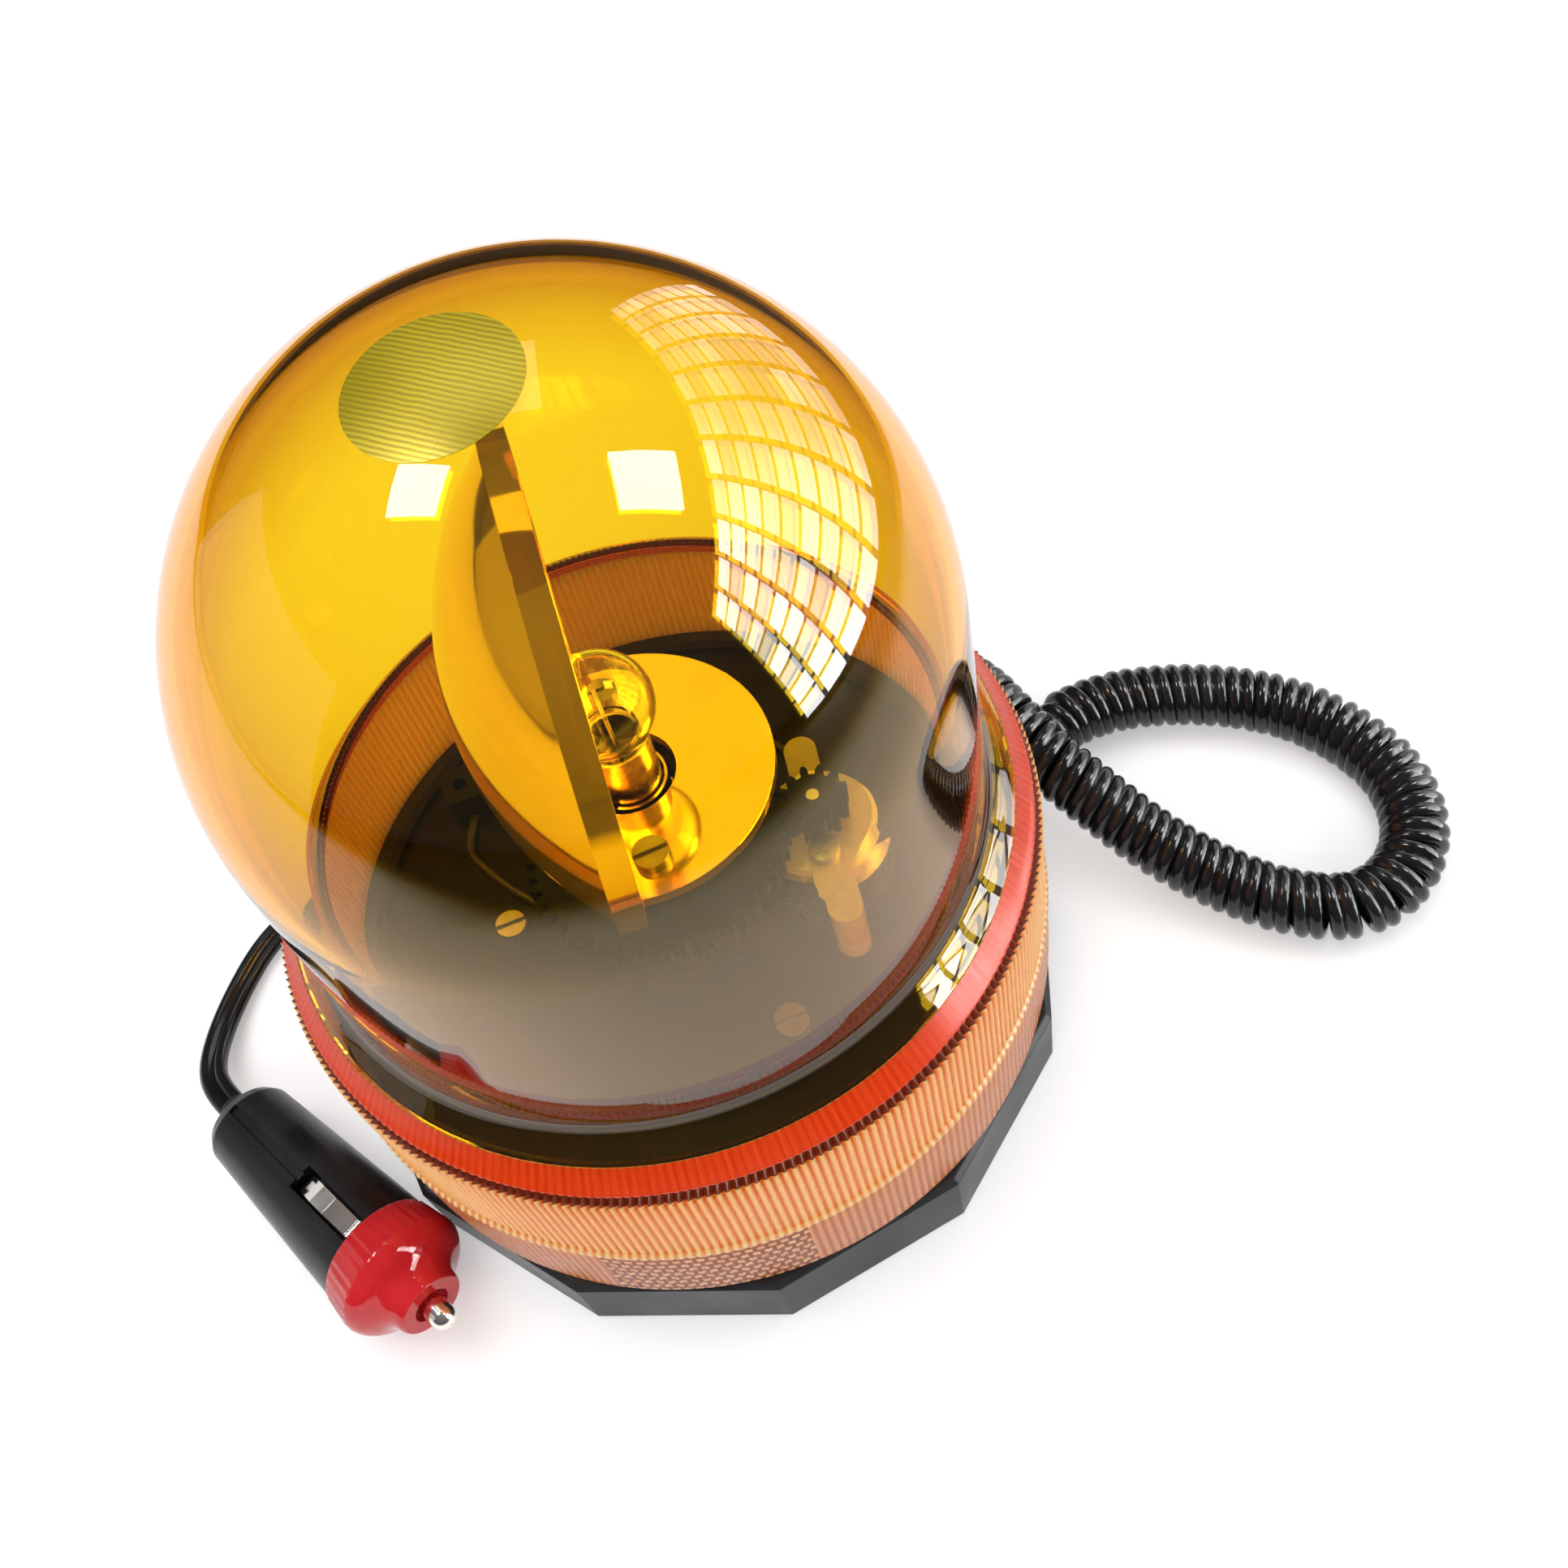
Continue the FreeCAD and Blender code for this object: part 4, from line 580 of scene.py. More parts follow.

# %% [markdown]
# ## The amber dome
# The lens is one injection moulding of amber plastic, about two millimetres thick. Its dome is clear:
# the tint sits in the plastic itself, so it is given as an absorption inside the wall, and edges, where
# the eye looks along the wall, turn dark by themselves. Seen at a slant, its colour and gloss are also
# darkened by painted shade, so both what comes through and its gloss fade there. Shadow rays pass
# straight through, because light that bends through clear plastic would need far more samples.

# %% Clear amber finish
PLASTIC_IOR = 1.49
STRAIGHT = (1.0, 1.0, 1.0)
# Painted shade for the dome's edges: the colour and the gloss seen at a slant.
EDGE_SHADE_COLOUR = (0.90, 0.56, 0.34)
EDGE_SHADE_GLOSS = (0.30, 0.20, 0.12)


def clear_finish(name, tint, density, rough):
    """Clear plastic that takes its colour from the way light travels in it, with painted shade at a slant.
    """
    finish, tree, shader = new_finish(name)
    shader.inputs["Transmission Weight"].default_value = 1.0
    shader.inputs["IOR"].default_value = PLASTIC_IOR
    tree.links.new(spread(tree, noise(tree, 35.0), *rough), shader.inputs["Roughness"])
    # Painted shade: seen at a slant, the colour and the gloss are darkened.
    slant = add(tree, "LayerWeight", Blend=0.5).outputs["Facing"]
    colour = ramp(tree, slant, STRAIGHT, EDGE_SHADE_COLOUR, 0.30, 0.78)
    tree.links.new(colour, shader.inputs["Base Color"])
    gloss = ramp(tree, slant, STRAIGHT, EDGE_SHADE_GLOSS, 0.62, 0.84)
    tree.links.new(gloss, shader.inputs["Specular Tint"])
    output = tree.nodes["Material Output"]
    straight = add(tree, "BsdfTransparent")
    choose = add(tree, "MixShader")
    tree.links.new(add(tree, "LightPath").outputs["Is Shadow Ray"], choose.inputs["Fac"])
    tree.links.new(shader.outputs["BSDF"], choose.inputs[1])
    tree.links.new(straight.outputs["BSDF"], choose.inputs[2])
    tree.links.new(choose.outputs["Shader"], output.inputs["Surface"])
    inside = add(tree, "VolumeAbsorption", Color=(*tint, 1.0), Density=density)
    tree.links.new(inside.outputs["Volume"], output.inputs["Volume"])
    return finish


clear_amber = clear_finish("clear_amber", (0.992, 0.902, 0.0), 1150.0, (0.0, 0.02))
print("clear amber made")

# %% [markdown]
# The clear part runs from the sloping shoulder up to the pole. The two walls are closed by small caps
# beside the pole, which the seal on top covers.

# %% Clear dome
DOME_RADIUS, DOME_MIDDLE, WALL = 47.6, 90.4, 1.9
RIBS = 278
DOME_COLUMNS = 2 * RIBS
POLE_ANGLE, ARC_POINTS = 89.4, 30


def dome_arc(radius, count):
    """Points from the dome's edge up to just beside its pole, as radius and height."""
    angles = [math.radians(POLE_ANGLE) * step / (count - 1) for step in range(count)]
    return [(radius * math.cos(angle), DOME_MIDDLE + radius * math.sin(angle)) for angle in angles]


clear_outside = [
    (51.75, 53.60), (51.4, 53.95), (50.2, 55.3), (49.4, 56.0), (48.7, 56.9), (48.2, 57.9), (48.0, 59.2),
    (47.95, 64.0), (47.85, 72.0), (47.7, 82.0),
] + dome_arc(DOME_RADIUS, ARC_POINTS)
clear_inside = list(reversed(dome_arc(DOME_RADIUS - WALL, ARC_POINTS))) + [
    (45.75, 82.0), (45.9, 72.0), (46.0, 64.0), (46.1, 59.5), (46.2, 57.6), (46.7, 56.0), (47.6, 54.7),
    (49.1, 53.4), (50.4, 52.2),
]


def close_poles(mesh, first_row, columns):
    """Take out the faces between two rows at the pole and cap both rows."""
    shape = bmesh.new()
    shape.from_mesh(mesh)
    shape.verts.ensure_lookup_table()
    rows = {first_row, first_row + 1}
    between = [face for face in shape.faces if {vert.index // columns for vert in face.verts} == rows]
    bmesh.ops.delete(shape, geom=between, context="FACES_ONLY")
    for row in rows:
        shape.faces.new([shape.verts[row * columns + column] for column in range(columns)])
    bmesh.ops.recalc_face_normals(shape, faces=shape.faces[:])
    shape.to_mesh(mesh)
    shape.free()


dome_mesh = turned_mesh("amber_dome", clear_outside + clear_inside, DOME_COLUMNS)
close_poles(dome_mesh, len(clear_outside) - 1, DOME_COLUMNS)
amber_dome = piece("amber_dome", dome_mesh, [clear_amber], "lens", ["lens"])
crease(amber_dome, DOME_CREASE)
print("amber dome faces", len(dome_mesh.polygons))

# %% [markdown]
# ## The ribbed skirt
# Below the shoulder the same plastic is frosted by fine upright ribs and hides what is behind it. Its
# finish follows the ribs, so it needs two measures of a point: how far round the axis it lies and how
# high. Shader nodes can work out both, which unrolls the skirt without any unwrapping by hand.

# %% Unrolled place
def round_place(tree, turns_scale, height_scale):
    """A flat place unrolled from the axis: turns along X, height along Y."""
    split = add(tree, "SeparateXYZ")
    tree.links.new(add(tree, "TexCoord").outputs["Object"], split.inputs["Vector"])
    angle = add(tree, "Math")
    angle.operation = "ARCTAN2"
    tree.links.new(split.outputs["Y"], angle.inputs[0])
    tree.links.new(split.outputs["X"], angle.inputs[1])
    flat = add(tree, "CombineXYZ")
    for source, scale, axis in ((angle.outputs[0], turns_scale / (2.0 * math.pi), "X"),
                                (split.outputs["Z"], height_scale, "Y")):
        scaled = add(tree, "Math")
        scaled.operation = "MULTIPLY"
        scaled.inputs[1].default_value = scale
        tree.links.new(source, scaled.inputs[0])
        tree.links.new(scaled.outputs[0], flat.inputs[axis])
    return flat.outputs["Vector"]


print("unrolled place ready")

# %% [markdown]
# Some light still comes through the frosted plastic, so the finish is part gloss and part translucent,
# and lets tinted light pass to the inside. Along the ribs the colour carries painted light: a painted
# highlight on the crests and painted shade in the valleys.

# %% Frosted finishes
THROUGH = (0.92, 0.60, 0.30)
LIT_FROM_BEHIND = 0.3
STREAKS_PER_METRE = 120.0


def frosted_finish(name, valley, crest, rough, streaks, rib_light_share):
    """Amber plastic with painted highlight and shade along its ribs and streaks along its height."""
    finish, tree, shader = new_finish(name)
    turns = add(tree, "SeparateXYZ")
    tree.links.new(round_place(tree, RIBS, 0.0), turns.inputs["Vector"])
    # The rib pattern is painted light: a painted highlight on the crests, painted shade in the valleys.
    rib = add(tree, "Math")
    rib.operation = "PINGPONG"
    rib.inputs[1].default_value = 0.5
    tree.links.new(turns.outputs["X"], rib.inputs[0])
    drift = noise(tree, 1.0, 4.0, round_place(tree, streaks, STREAKS_PER_METRE))
    both = add(tree, "Mix", Factor=rib_light_share)
    tree.links.new(drift, both.inputs[2])
    tree.links.new(spread(tree, rib.outputs[0], 0.0, 1.0, 0.06, 0.42), both.inputs[3])
    tree.links.new(ramp(tree, both.outputs[0], valley, crest, 0.22, 0.78), shader.inputs["Base Color"])
    tree.links.new(spread(tree, drift, *rough), shader.inputs["Roughness"])
    shader.inputs["IOR"].default_value = PLASTIC_IOR
    behind = add(tree, "BsdfTranslucent", Color=(*crest, 1.0))
    lit = add(tree, "MixShader", Fac=LIT_FROM_BEHIND)
    through = add(tree, "BsdfTransparent", Color=(*THROUGH, 1.0))
    choose = add(tree, "MixShader")
    tree.links.new(add(tree, "LightPath").outputs["Is Shadow Ray"], choose.inputs["Fac"])
    tree.links.new(shader.outputs["BSDF"], lit.inputs[1])
    tree.links.new(behind.outputs["BSDF"], lit.inputs[2])
    tree.links.new(lit.outputs["Shader"], choose.inputs[1])
    tree.links.new(through.outputs["BSDF"], choose.inputs[2])
    tree.links.new(choose.outputs["Shader"], tree.nodes["Material Output"].inputs["Surface"])
    return finish


skirt_amber = frosted_finish(
    "skirt_amber", valley=(0.70, 0.18, 0.036), crest=(1.0, 0.68, 0.25),
    rough=(0.20, 0.32), streaks=300.0, rib_light_share=0.78)
rim_red = frosted_finish(
    "rim_red", valley=(0.70, 0.032, 0.002), crest=(0.90, 0.085, 0.005),
    rough=(0.18, 0.30), streaks=900.0, rib_light_share=0.35)
# Painted highlight: the bead along the step is brighter than the rest of the skirt.
bead_gold = frosted_finish(
    "bead_gold", valley=(0.80, 0.34, 0.09), crest=(1.0, 0.80, 0.42),
    rough=(0.16, 0.26), streaks=300.0, rib_light_share=0.8)
# Painted light: the inside wall is brighter than the outside, as little lamp light reaches it.
inner_amber = frosted_finish(
    "inner_amber", valley=(0.90, 0.36, 0.06), crest=(1.0, 0.86, 0.40),
    rough=(0.20, 0.32), streaks=300.0, rib_light_share=0.78)
# Painted shade: a dark brown for the groove under the rim, the pointed rib ends and the ring of teeth.
groove_brown = frosted_finish(
    "groove_brown", valley=(0.10, 0.016, 0.005), crest=(0.22, 0.040, 0.012),
    rough=(0.3, 0.45), streaks=600.0, rib_light_share=0.5)
print("frosted finishes made")

# %% [markdown]
# The lower band sits in front of the black neck, and is painted darker than the skirt as shade from
# it. Over each bayonet lug it has a fine brick pattern with dark joints. A brick texture on the unrolled
# band gives that, and a mask round the axis keeps it to the three lugs.

# %% Band finish
LUGS, LUG_START, LUG_SHARE = 3.0, -121.5 / 360.0, 30.0 / 120.0
BRICKS_ROUND, BRICKS_PER_METRE = 210.0, 560.0


def band_finish():
    """The lower band, painted darker as shade, with a brick pattern over the lugs."""
    # Painted shade: the band's valley and crest colours are darker than the skirt's.
    finish = frosted_finish(
        "band_amber", valley=(0.44, 0.15, 0.06), crest=(0.78, 0.38, 0.17),
        rough=(0.22, 0.34), streaks=300.0, rib_light_share=0.7)
    tree = finish.node_tree
    shader = tree.nodes["Principled BSDF"]
    plain = shader.inputs["Base Color"].links[0].from_socket
    bricks = add(tree, "TexBrick", Scale=1.0, Mortar_Size=0.2, Brick_Width=1.0, Row_Height=1.0)
    bricks.inputs["Color1"].default_value = (0.98, 0.62, 0.34, 1.0)
    bricks.inputs["Color2"].default_value = (0.80, 0.42, 0.20, 1.0)
    bricks.inputs["Mortar"].default_value = (0.16, 0.045, 0.016, 1.0)
    tree.links.new(round_place(tree, BRICKS_ROUND, BRICKS_PER_METRE), bricks.inputs["Vector"])
    turns = add(tree, "SeparateXYZ")
    tree.links.new(round_place(tree, 1.0, 1.0), turns.inputs["Vector"])
    third = turns.outputs["X"]
    mask_steps = (("SUBTRACT", LUG_START), ("MULTIPLY", LUGS), ("FRACT", 0.0), ("LESS_THAN", LUG_SHARE))
    for operation, number in mask_steps:
        step = add(tree, "Math")
        step.operation = operation
        step.inputs[1].default_value = number
        tree.links.new(third, step.inputs[0])
        third = step.outputs[0]
    both = add(tree, "Mix")
    both.data_type = "RGBA"
    tree.links.new(third, both.inputs["Factor"])
    tree.links.new(plain, both.inputs[6])
    tree.links.new(bricks.outputs["Color"], both.inputs[7])
    tree.links.new(both.outputs[2], shader.inputs["Base Color"])
    return finish


band_amber = band_finish()
print("band finish made")

# %% [markdown]
# The skirt's outline goes up the outside, over a groove and the rim's sharp edge, along the red slope
# that meets the clear dome, and down the inside. It is kept as one list for each zone, because each
# zone gets its own ribs and finish.

# %% Skirt outline
band_rows = [(54.3, 14.8), (55.3, 14.8), (55.55, 15.1), (55.6, 15.8), (55.6, 22.0), (55.6, 29.0)]
bead_rows = [(55.55, 29.2), (55.78, 29.5), (55.8, 29.9), (55.5, 30.3)]
rib_rows = [(55.25, 30.4), (55.3, 30.8), (55.3, 36.0), (55.3, 42.0), (55.3, 47.8), (55.2, 49.2)]
groove_rows = [(53.9, 49.5), (53.75, 50.1)]
rim_rows = [
    (54.15, 50.3), (54.32, 50.5), (54.2, 50.8), (53.9, 51.05), (53.2, 51.85), (52.5, 52.75), (51.7, 53.8),
]
inner_rows = [
    (50.5, 52.1), (51.7, 50.8), (52.9, 49.2), (53.4, 48.0), (53.6, 46.0), (53.6, 38.0), (53.6, 31.0),
    (53.6, 22.0), (53.6, 15.4),
]
skirt_outline = band_rows + bead_rows + rib_rows + groove_rows + rim_rows + inner_rows
first_bead = len(band_rows)
first_rib = first_bead + len(bead_rows)
first_groove = first_rib + len(rib_rows)
first_rim = first_groove + len(groove_rows)
first_inner = first_rim + len(rim_rows)
print("rows of the skirt", len(skirt_outline))

# %% [markdown]
# Each rib takes four columns and has a crest between two valleys; its top end is cut to a point, which
# draws the row of teeth under the rim; their dark colour is painted shade. Band, bead, rim and inside
# have shallower ribs in the same columns.

# %% Ribbed skirt
SKIRT_COLUMNS, HALF_RIB = RIB_COLUMNS * RIBS, RIB_COLUMNS // 2
BAND_RIB, BEAD_RIB, SKIRT_RIB, RIM_RIB, INNER_RIB = 0.16, 0.22, 0.42, 0.14, 0.22
POINT_IN, POINT_DOWN = 0.85, 1.3
ON_RIBS, ON_BAND, ON_GROOVE, ON_RIM, ON_BEAD, ON_INSIDE = range(6)


def skirt_push(row, column):
    """Ribs on the outside and, finer, on the inside; pointed rib ends; beads on the rim's edge."""
    valley = abs(column % RIB_COLUMNS - HALF_RIB) / HALF_RIB
    if 3 <= row < first_bead - 1:
        return -BAND_RIB * valley, 0.0
    if first_bead < row < first_rib - 1:
        return -BEAD_RIB * valley, 0.0
    if first_rib < row < first_groove - 1:
        return -SKIRT_RIB * valley, 0.0
    if row == first_groove - 1:
        return -POINT_IN * valley, -POINT_DOWN * valley
    if row == first_rim + 1:
        return -RIM_RIB * valley, 0.0
    if row > first_inner + 2:
        return INNER_RIB * valley, 0.0
    return 0.0, 0.0


skirt_mesh = turned_mesh("ribbed_skirt", skirt_outline, SKIRT_COLUMNS, skirt_push)
row_finish = [ON_BAND] * first_bead
row_finish += [ON_BEAD] * len(bead_rows)
row_finish += [ON_RIBS] * (len(rib_rows) - 1)
# The pointed rib ends and the groove get the painted shade.
row_finish += [ON_GROOVE] * (len(groove_rows) + 1)
row_finish += [ON_RIM] * (len(rim_rows) - 1)
row_finish += [ON_INSIDE] * (len(skirt_outline) - len(row_finish))
skirt_mesh.polygons.foreach_set(
    "material_index", [row_finish[index // SKIRT_COLUMNS] for index in range(len(skirt_mesh.polygons))])
shape = bmesh.new()
shape.from_mesh(skirt_mesh)
bmesh.ops.recalc_face_normals(shape, faces=shape.faces[:])
shape.to_mesh(skirt_mesh)
shape.free()
skirt_finishes = [skirt_amber, band_amber, groove_brown, rim_red, bead_gold, inner_amber]
ribbed_skirt = piece("ribbed_skirt", skirt_mesh, skirt_finishes, "lens", ["lens"])
crease(ribbed_skirt, MESH_CREASE)
print("skirt faces", len(skirt_mesh.polygons))

# %% [markdown]
# Inside the dome's foot runs a fine ring of teeth, one for each rib. It is a thin strip with a zigzag
# upper edge: every second column is higher. Its dark brown is painted shade.

# %% Ring of teeth
TOOTH_HEIGHT, TOP_ROWS = 1.1, (1, 2)
teeth_outline = [(45.85, 58.4), (45.85, 58.9), (45.7, 58.9), (45.7, 58.4)]


def teeth_push(row, column):
    """Raise every second column of the upper edge."""
    return (0.0, TOOTH_HEIGHT * (column % 2)) if row in TOP_ROWS else (0.0, 0.0)


teeth_mesh = turned_mesh("teeth_ring", teeth_outline, DOME_COLUMNS, teeth_push)
teeth_ring = piece("teeth_ring", teeth_mesh, [groove_brown], "lens", ["lens"])
crease(teeth_ring, MESH_CREASE)
print("teeth", RIBS)

# %% [markdown]
# ## The foil seal
# A round seal of gold foil sticks to the top of the dome. The foil is satin, with fine embossed stripes
# that fade in and out, which a wave texture under a soft noise gives.

# %% Foil finish
def foil_finish():
    """Satin gold foil with embossed stripes."""
    finish, tree, shader = new_finish("gold_foil")
    place = add(tree, "TexCoord").outputs["Object"]
    lines = add(tree, "TexWave", Scale=640.0, Distortion=1.5, Detail_Scale=0.6)
    lines.bands_direction = "DIAGONAL"
    tree.links.new(place, lines.inputs["Vector"])
    cloud = noise(tree, 60.0, 1.0)
    stripes = add(tree, "Math")
    stripes.operation = "MULTIPLY"
    tree.links.new(lines.outputs["Fac"], stripes.inputs[0])
    tree.links.new(spread(tree, cloud, 0.3, 1.0, 0.3, 0.7), stripes.inputs[1])
    tone = ramp(tree, stripes.outputs[0], (0.34, 0.25, 0.003), (0.60, 0.46, 0.012), 0.0, 0.8)
    tree.links.new(tone, shader.inputs["Base Color"])
    shader.inputs["Metallic"].default_value = 0.35
    tree.links.new(spread(tree, cloud, 0.22, 0.38), shader.inputs["Roughness"])
    grain(tree, shader, stripes.outputs[0], 0.3, 0.03 * MM)
    return finish


gold_foil = foil_finish()
print("foil made")

# %% [markdown]
# The seal follows the dome, so it is a cap of a sphere: rings of points round its own middle, a hair
# above the plastic. A second layer of rings below gives the foil its thickness.

# %% Foil seal
SEAL_RADIUS, SEAL_RINGS, SEAL_COLUMNS = 9.5, 12, 72
SEAL_TOP, SEAL_UNDER, FIRST_RING = 0.10, 0.03, 0.4
SEAL_AT = Vector((-2.9, -3.0, 137.7))
dome_middle = Vector((0.0, 0.0, DOME_MIDDLE))
seal_pole = (SEAL_AT - dome_middle).normalized()
seal_side = seal_pole.orthogonal().normalized()
seal_over = seal_pole.cross(seal_side)


def seal_ring(share, lift):
    """One ring of the seal, at a share of its radius and a height over the dome."""
    bend = SEAL_RADIUS * share / DOME_RADIUS
    ring = []
    for column in range(SEAL_COLUMNS):
        way = 2.0 * math.pi * column / SEAL_COLUMNS
        side = math.cos(way) * seal_side + math.sin(way) * seal_over
        out = math.cos(bend) * seal_pole + math.sin(bend) * side
        ring.append((dome_middle + (DOME_RADIUS + lift) * out) * MM)
    return ring


shares = [(step + FIRST_RING) / (SEAL_RINGS - 1 + FIRST_RING) for step in range(SEAL_RINGS)]
rings = [seal_ring(share, SEAL_TOP) for share in shares]
rings += [seal_ring(share, SEAL_UNDER) for share in reversed(shares)]
seal_points = [point for line in rings for point in line]
seal_faces = []
for row in range(len(rings) - 1):
    for column in range(SEAL_COLUMNS):
        here = row * SEAL_COLUMNS + column
        beside = row * SEAL_COLUMNS + (column + 1) % SEAL_COLUMNS
        seal_faces.append((here, here + SEAL_COLUMNS, beside + SEAL_COLUMNS, beside))
seal_faces.append(tuple(range(SEAL_COLUMNS)))
seal_faces.append(tuple(reversed(range(len(seal_points) - SEAL_COLUMNS, len(seal_points)))))
seal_mesh = bpy.data.meshes.new("foil_seal")
seal_mesh.from_pydata(seal_points, [], seal_faces)
seal_mesh.polygons.foreach_set("use_smooth", [True] * len(seal_faces))
foil_seal = piece("foil_seal", seal_mesh, [gold_foil], "lens")
crease(foil_seal, MESH_CREASE)
print("seal", 2.0 * SEAL_RADIUS, "mm across")

# %% [markdown]
# ## The reflector and the bulb
# The reflector is a plastic dish with a bright metal coating, and the bulb a small round glass one.
# Their solids have the right shape and stay; the coating is a satin mirror with a warm cast and faint
# smears, and the glass a thin clear one.

# %% Mirror and glass finishes
mirror_coat = uneven_finish(
    "mirror_coat", (0.92, 0.58, 0.20), (0.99, 0.68, 0.27), rough=(0.03, 0.12),
    patch=60, fine=420, depth=0.03 * MM, strength=0.15, Metallic=0.8)
clear_glass, glass_tree, glass_shader = new_finish("clear_glass")
glass_shader.inputs["Base Color"].default_value = (1.0, 1.0, 1.0, 1.0)
glass_shader.inputs["Transmission Weight"].default_value = 1.0
glass_shader.inputs["IOR"].default_value = 1.48
glass_rough = spread(glass_tree, noise(glass_tree, 90.0), 0.0, 0.03)
glass_tree.links.new(glass_rough, glass_shader.inputs["Roughness"])
dress("reflector", mirror_coat)
dress("bulb_glass", clear_glass)
dress("fuse_glass", clear_glass)
dress("bulb_filament", steel)
print("mirror and glass made")

# %% [markdown]
# ## Smooth solids
# The solids come as flat faces. Smooth shading with split edges keeps round faces round and flat ones
# flat.

# %% Smooth solids
for node in frame["nodes"].values():
    if not node.hide_render:
        node.data.polygons.foreach_set("use_smooth", [True] * len(node.data.polygons))
        crease(node, SOLID_CREASE)
print("solids smoothed")

# %% [markdown]
# ## Paper and air
# The light stands on white paper on a dark table, in a dim room: one round sheet under it and a larger
# one at the left, which the back of the reflector shows. The edges of the paper lie just beyond the
# picture, and the dark table behind gives the dome its dark edge. The sheets need no meshes: the
# distance from their middles tells paper from table.

# %% Sheets of paper
SHEETS = (((0.02, 0.12, 0.0), 0.335), ((-0.40, 0.45, 0.0), 0.62))
PAPER_WAY = (0.596, 0.803, 0.0)
PAPER_EDGE = 0.292
SHEET_FADE, EDGE_FADE = 0.12, 0.02


def paper_share(tree):
    """How much of a place is paper: two round sheets that are cut off along the far side."""
    place = add(tree, "TexCoord").outputs["Object"]
    sheets = add(tree, "Math")
    sheets.operation = "MAXIMUM"
    for index, (middle, reach) in enumerate(SHEETS):
        away = add(tree, "VectorMath")
        away.operation = "DISTANCE"
        away.inputs[1].default_value = middle
        tree.links.new(place, away.inputs[0])
        sheet = spread(tree, away.outputs["Value"], 1.0, 0.0, reach, reach + SHEET_FADE)
        tree.links.new(sheet, sheets.inputs[index])
    along = add(tree, "VectorMath")
    along.operation = "DOT_PRODUCT"
    along.inputs[1].default_value = PAPER_WAY
    tree.links.new(place, along.inputs[0])
    both = add(tree, "Math")
    both.operation = "MULTIPLY"
    tree.links.new(sheets.outputs[0], both.inputs[0])
    near = spread(tree, along.outputs["Value"], 1.0, 0.0, PAPER_EDGE, PAPER_EDGE + EDGE_FADE)
    tree.links.new(near, both.inputs[1])
    return both.outputs[0]


print("sheets of paper", len(SHEETS))

# %% [markdown]
# The paper keeps the soft shadow. It glows a little for the camera, and for what mirrors and clear
# plastic show of it, so that it stays white without more light on the object.

# %% Paper finish
TABLE_DARK, PAPER_WHITE = (0.03, 0.028, 0.026), (0.80, 0.80, 0.80)
PAPER_GLOW = 0.34


def paper_finish():
    """White paper with the dark table round it."""
    finish, tree, shader = new_finish("white_paper")
    paper = paper_share(tree)
    tree.links.new(ramp(tree, paper, TABLE_DARK, PAPER_WHITE, 0.0, 1.0), shader.inputs["Base Color"])
    shader.inputs["Roughness"].default_value = 0.75
    shader.inputs["Specular IOR Level"].default_value = 0.2
    seen = add(tree, "LightPath")
    strength = spread(tree, paper, 0.0, PAPER_GLOW, 0.0, 1.0)
    ray = seen.outputs["Is Camera Ray"]
    for other in ("Is Glossy Ray", "Is Transmission Ray"):
        either = add(tree, "Math")
        either.operation = "MAXIMUM"
        tree.links.new(ray, either.inputs[0])
        tree.links.new(seen.outputs[other], either.inputs[1])
        ray = either.outputs[0]
    share = add(tree, "Math")
    share.operation = "MULTIPLY"
    tree.links.new(ray, share.inputs[0])
    tree.links.new(strength, share.inputs[1])
    glow = add(tree, "Emission", Color=(1.0, 1.0, 1.0, 1.0))
    tree.links.new(share.outputs[0], glow.inputs["Strength"])
    both = add(tree, "AddShader")
    tree.links.new(shader.outputs["BSDF"], both.inputs[0])
    tree.links.new(glow.outputs["Emission"], both.inputs[1])
    tree.links.new(both.outputs["Shader"], tree.nodes["Material Output"].inputs["Surface"])
    return finish


white_paper = paper_finish()
print("paper finish made")

# %% [markdown]
# One large square carries both table and paper. It lies a hair below the light's foot, so that the two
# never share a face.

# %% Table
HALF_TABLE = 6.0
TABLE_DROP = 0.2 * MM
corners = [(x * HALF_TABLE, y * HALF_TABLE, 0.0) for x, y in ((-1, -1), (1, -1), (1, 1), (-1, 1))]
table_mesh = bpy.data.meshes.new("table")
table_mesh.from_pydata(corners, [], [(0, 1, 2, 3)])
table_mesh.materials.append(white_paper)
table = bpy.data.objects.new("table", table_mesh)
bpy.context.collection.objects.link(table)
table.location.z = -TABLE_DROP
print("table", 2.0 * HALF_TABLE, "m wide")

# %% [markdown]
# The air of the room is dim grey, darker near the horizon than overhead. A gradient over the height of
# each direction gives that.

# %% Air
air = bpy.data.worlds.new("air")
bpy.context.scene.world = air
air.use_nodes = True
air_tree = air.node_tree
air_tree.nodes.clear()
air_out = add(air_tree, "OutputWorld")
air_glow = add(air_tree, "Background", Strength=1.0)
air_split = add(air_tree, "SeparateXYZ")
air_tree.links.new(add(air_tree, "TexCoord").outputs["Generated"], air_split.inputs["Vector"])
air_tone = ramp(air_tree, air_split.outputs["Z"], (0.09, 0.09, 0.095), (0.18, 0.18, 0.185), 0.2, 0.8)
air_tree.links.new(air_tone, air_glow.inputs["Color"])
air_tree.links.new(air_glow.outputs["Background"], air_out.inputs["Surface"])
print("air filled")

# %% [markdown]
# ## Lamps
# Three wide soft lamps light everything at a plain level, from above, from the window's side and from
# the front. They are kept out of reflections, where such wide panels would cover the dome.

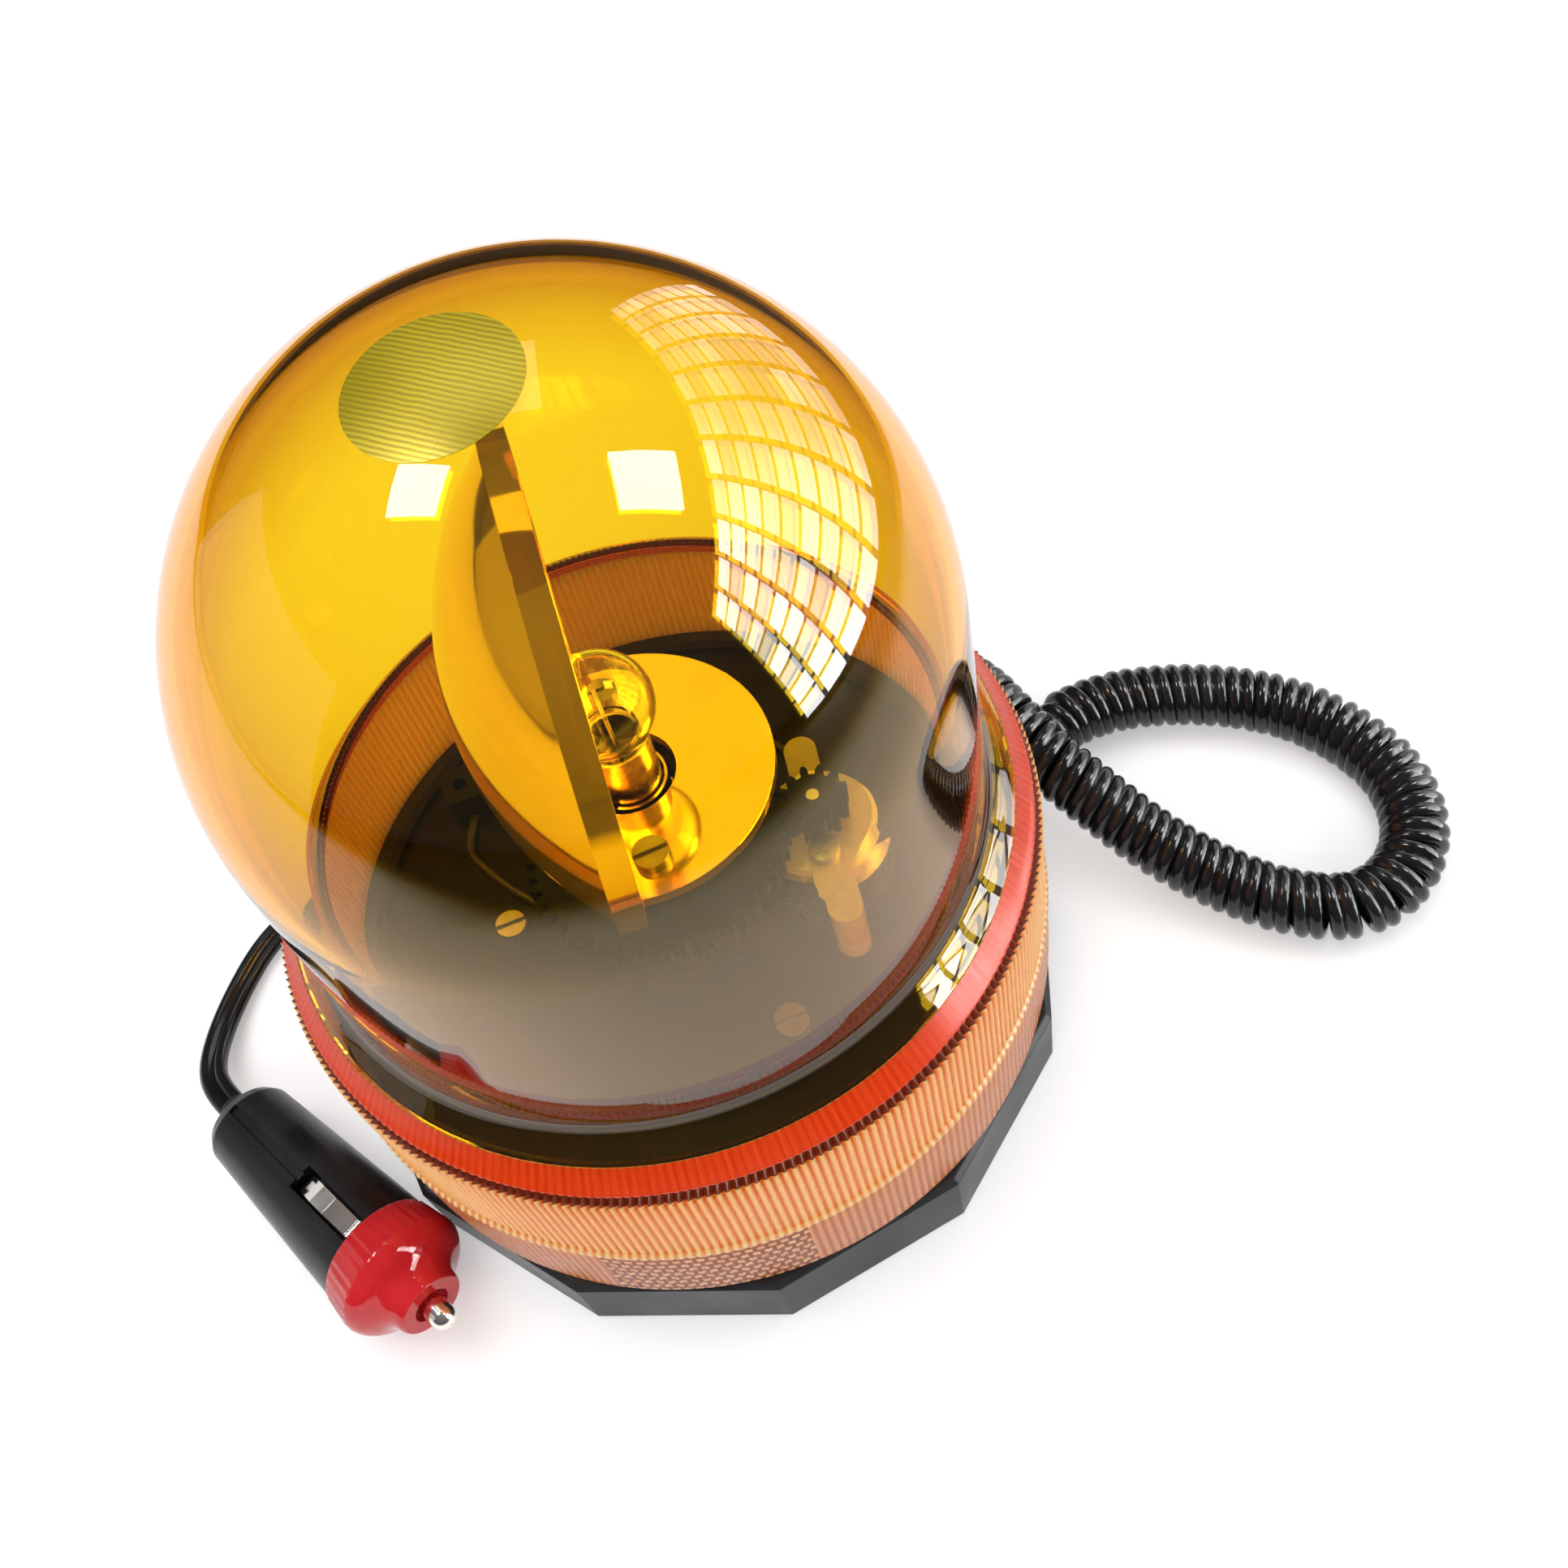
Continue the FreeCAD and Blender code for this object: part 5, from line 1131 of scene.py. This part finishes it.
# %% Soft lamps
def lamp(name, at, aim, wide, high, radiance):
    """A rectangular lamp that looks at a point, with its brightness per area."""
    light = bpy.data.lights.new(name, "AREA")
    light.shape = "RECTANGLE"
    light.size = wide
    light.size_y = high
    light.energy = radiance * math.pi * wide * high
    holder = bpy.data.objects.new(name, light)
    bpy.context.collection.objects.link(holder)
    holder.location = at
    holder.rotation_euler = (Vector(aim) - Vector(at)).to_track_quat("-Z", "Y").to_euler()
    holder.visible_camera = False
    return holder


LIGHT_MIDDLE = Vector((0.0, 0.0, 0.09))
for soft in (
    lamp("soft_above", LIGHT_MIDDLE + Vector((-0.25, 0.35, 1.5)), LIGHT_MIDDLE, 1.7, 1.7, 2.5),
    lamp("soft_window", LIGHT_MIDDLE + Vector((1.3, -0.35, 0.6)), LIGHT_MIDDLE, 1.2, 0.9, 2.2),
    lamp("soft_front", LIGHT_MIDDLE + Vector((-0.35, -1.15, 0.75)), LIGHT_MIDDLE, 1.4, 1.0, 2.5),
):
    soft.visible_glossy = False
    soft.visible_transmission = False
print("soft lamps set")

# %% [markdown]
# The room's bright things are there for reflections alone: two square lamps and a pale panel overhead,
# a pale wall at the left, and a long window at the right.

# %% Lamps for reflections
OVERHEAD = 1.5
CEILING = Vector((0.05, 0.58, 0.81))
SQUARE_LEFT = Vector((-0.32, 0.25, 0.91))
SQUARE_RIGHT = Vector((0.53, -0.04, 0.845))
window = lamp("window", (0.75, 0.25, 0.40), (0.0, 0.25, 0.40), 2.0, 0.76, 9.0)
for bright in (
    lamp("ceiling_panel", LIGHT_MIDDLE + CEILING * OVERHEAD, LIGHT_MIDDLE, 0.62, 0.62, 1.5),
    lamp("pale_wall", (-0.95, 0.45, 0.32), (0.0, 0.45, 0.32), 1.2, 0.6, 0.5),
    lamp("square_left", LIGHT_MIDDLE + SQUARE_LEFT * OVERHEAD, LIGHT_MIDDLE, 0.34, 0.34, 20.0),
    lamp("square_right", LIGHT_MIDDLE + SQUARE_RIGHT * OVERHEAD, LIGHT_MIDDLE, 0.42, 0.42, 20.0),
    window,
):
    bright.visible_diffuse = False
print("lamps for reflections set")

# %% [markdown]
# The window has thin dark bars. A brick texture without offset over the lamp's own area makes them,
# which needs no mesh, and the panes grow dimmer towards the far end.

# %% Window panes
WINDOW_PANES = (11.0, 9.0, 1.0)
BRIGHT_COLUMNS = (2.0, 5.5)
NEAR_GLOW, FAR_GLOW = 2.6, 0.4
window.data.use_nodes = True
window_tree = window.data.node_tree
panes = add(window_tree, "TexBrick", Scale=1.0, Mortar_Size=0.085, Brick_Width=1.0, Row_Height=1.0)
panes.offset = 0.0
panes.inputs["Color1"].default_value = (1.0, 1.0, 1.0, 1.0)
panes.inputs["Color2"].default_value = (0.35, 0.35, 0.35, 1.0)
panes.inputs["Mortar"].default_value = (0.03, 0.03, 0.03, 1.0)
pane_place = add(window_tree, "VectorMath")
pane_place.operation = "MULTIPLY"
pane_place.inputs[1].default_value = WINDOW_PANES
window_tree.links.new(add(window_tree, "NewGeometry").outputs["Parametric"], pane_place.inputs[0])
window_tree.links.new(pane_place.outputs["Vector"], panes.inputs["Vector"])
window_tree.links.new(panes.outputs["Color"], window_tree.nodes["Emission"].inputs["Color"])
pane_column = add(window_tree, "SeparateXYZ")
window_tree.links.new(pane_place.outputs["Vector"], pane_column.inputs["Vector"])
dimming = spread(window_tree, pane_column.outputs["X"], NEAR_GLOW, FAR_GLOW, *BRIGHT_COLUMNS)
window_tree.links.new(dimming, window_tree.nodes["Emission"].inputs["Strength"])
print("window panes", WINDOW_PANES[:2])

# %% [markdown]
# ## Colour and caustics
# The colours are shown as they are written, with no film look on top, and light that bends through
# clear plastic is left out, because it would add more noise than it shows.

# %% View and caustics
bpy.context.scene.view_settings.view_transform = "Standard"
bpy.context.scene.cycles.caustics_refractive = False
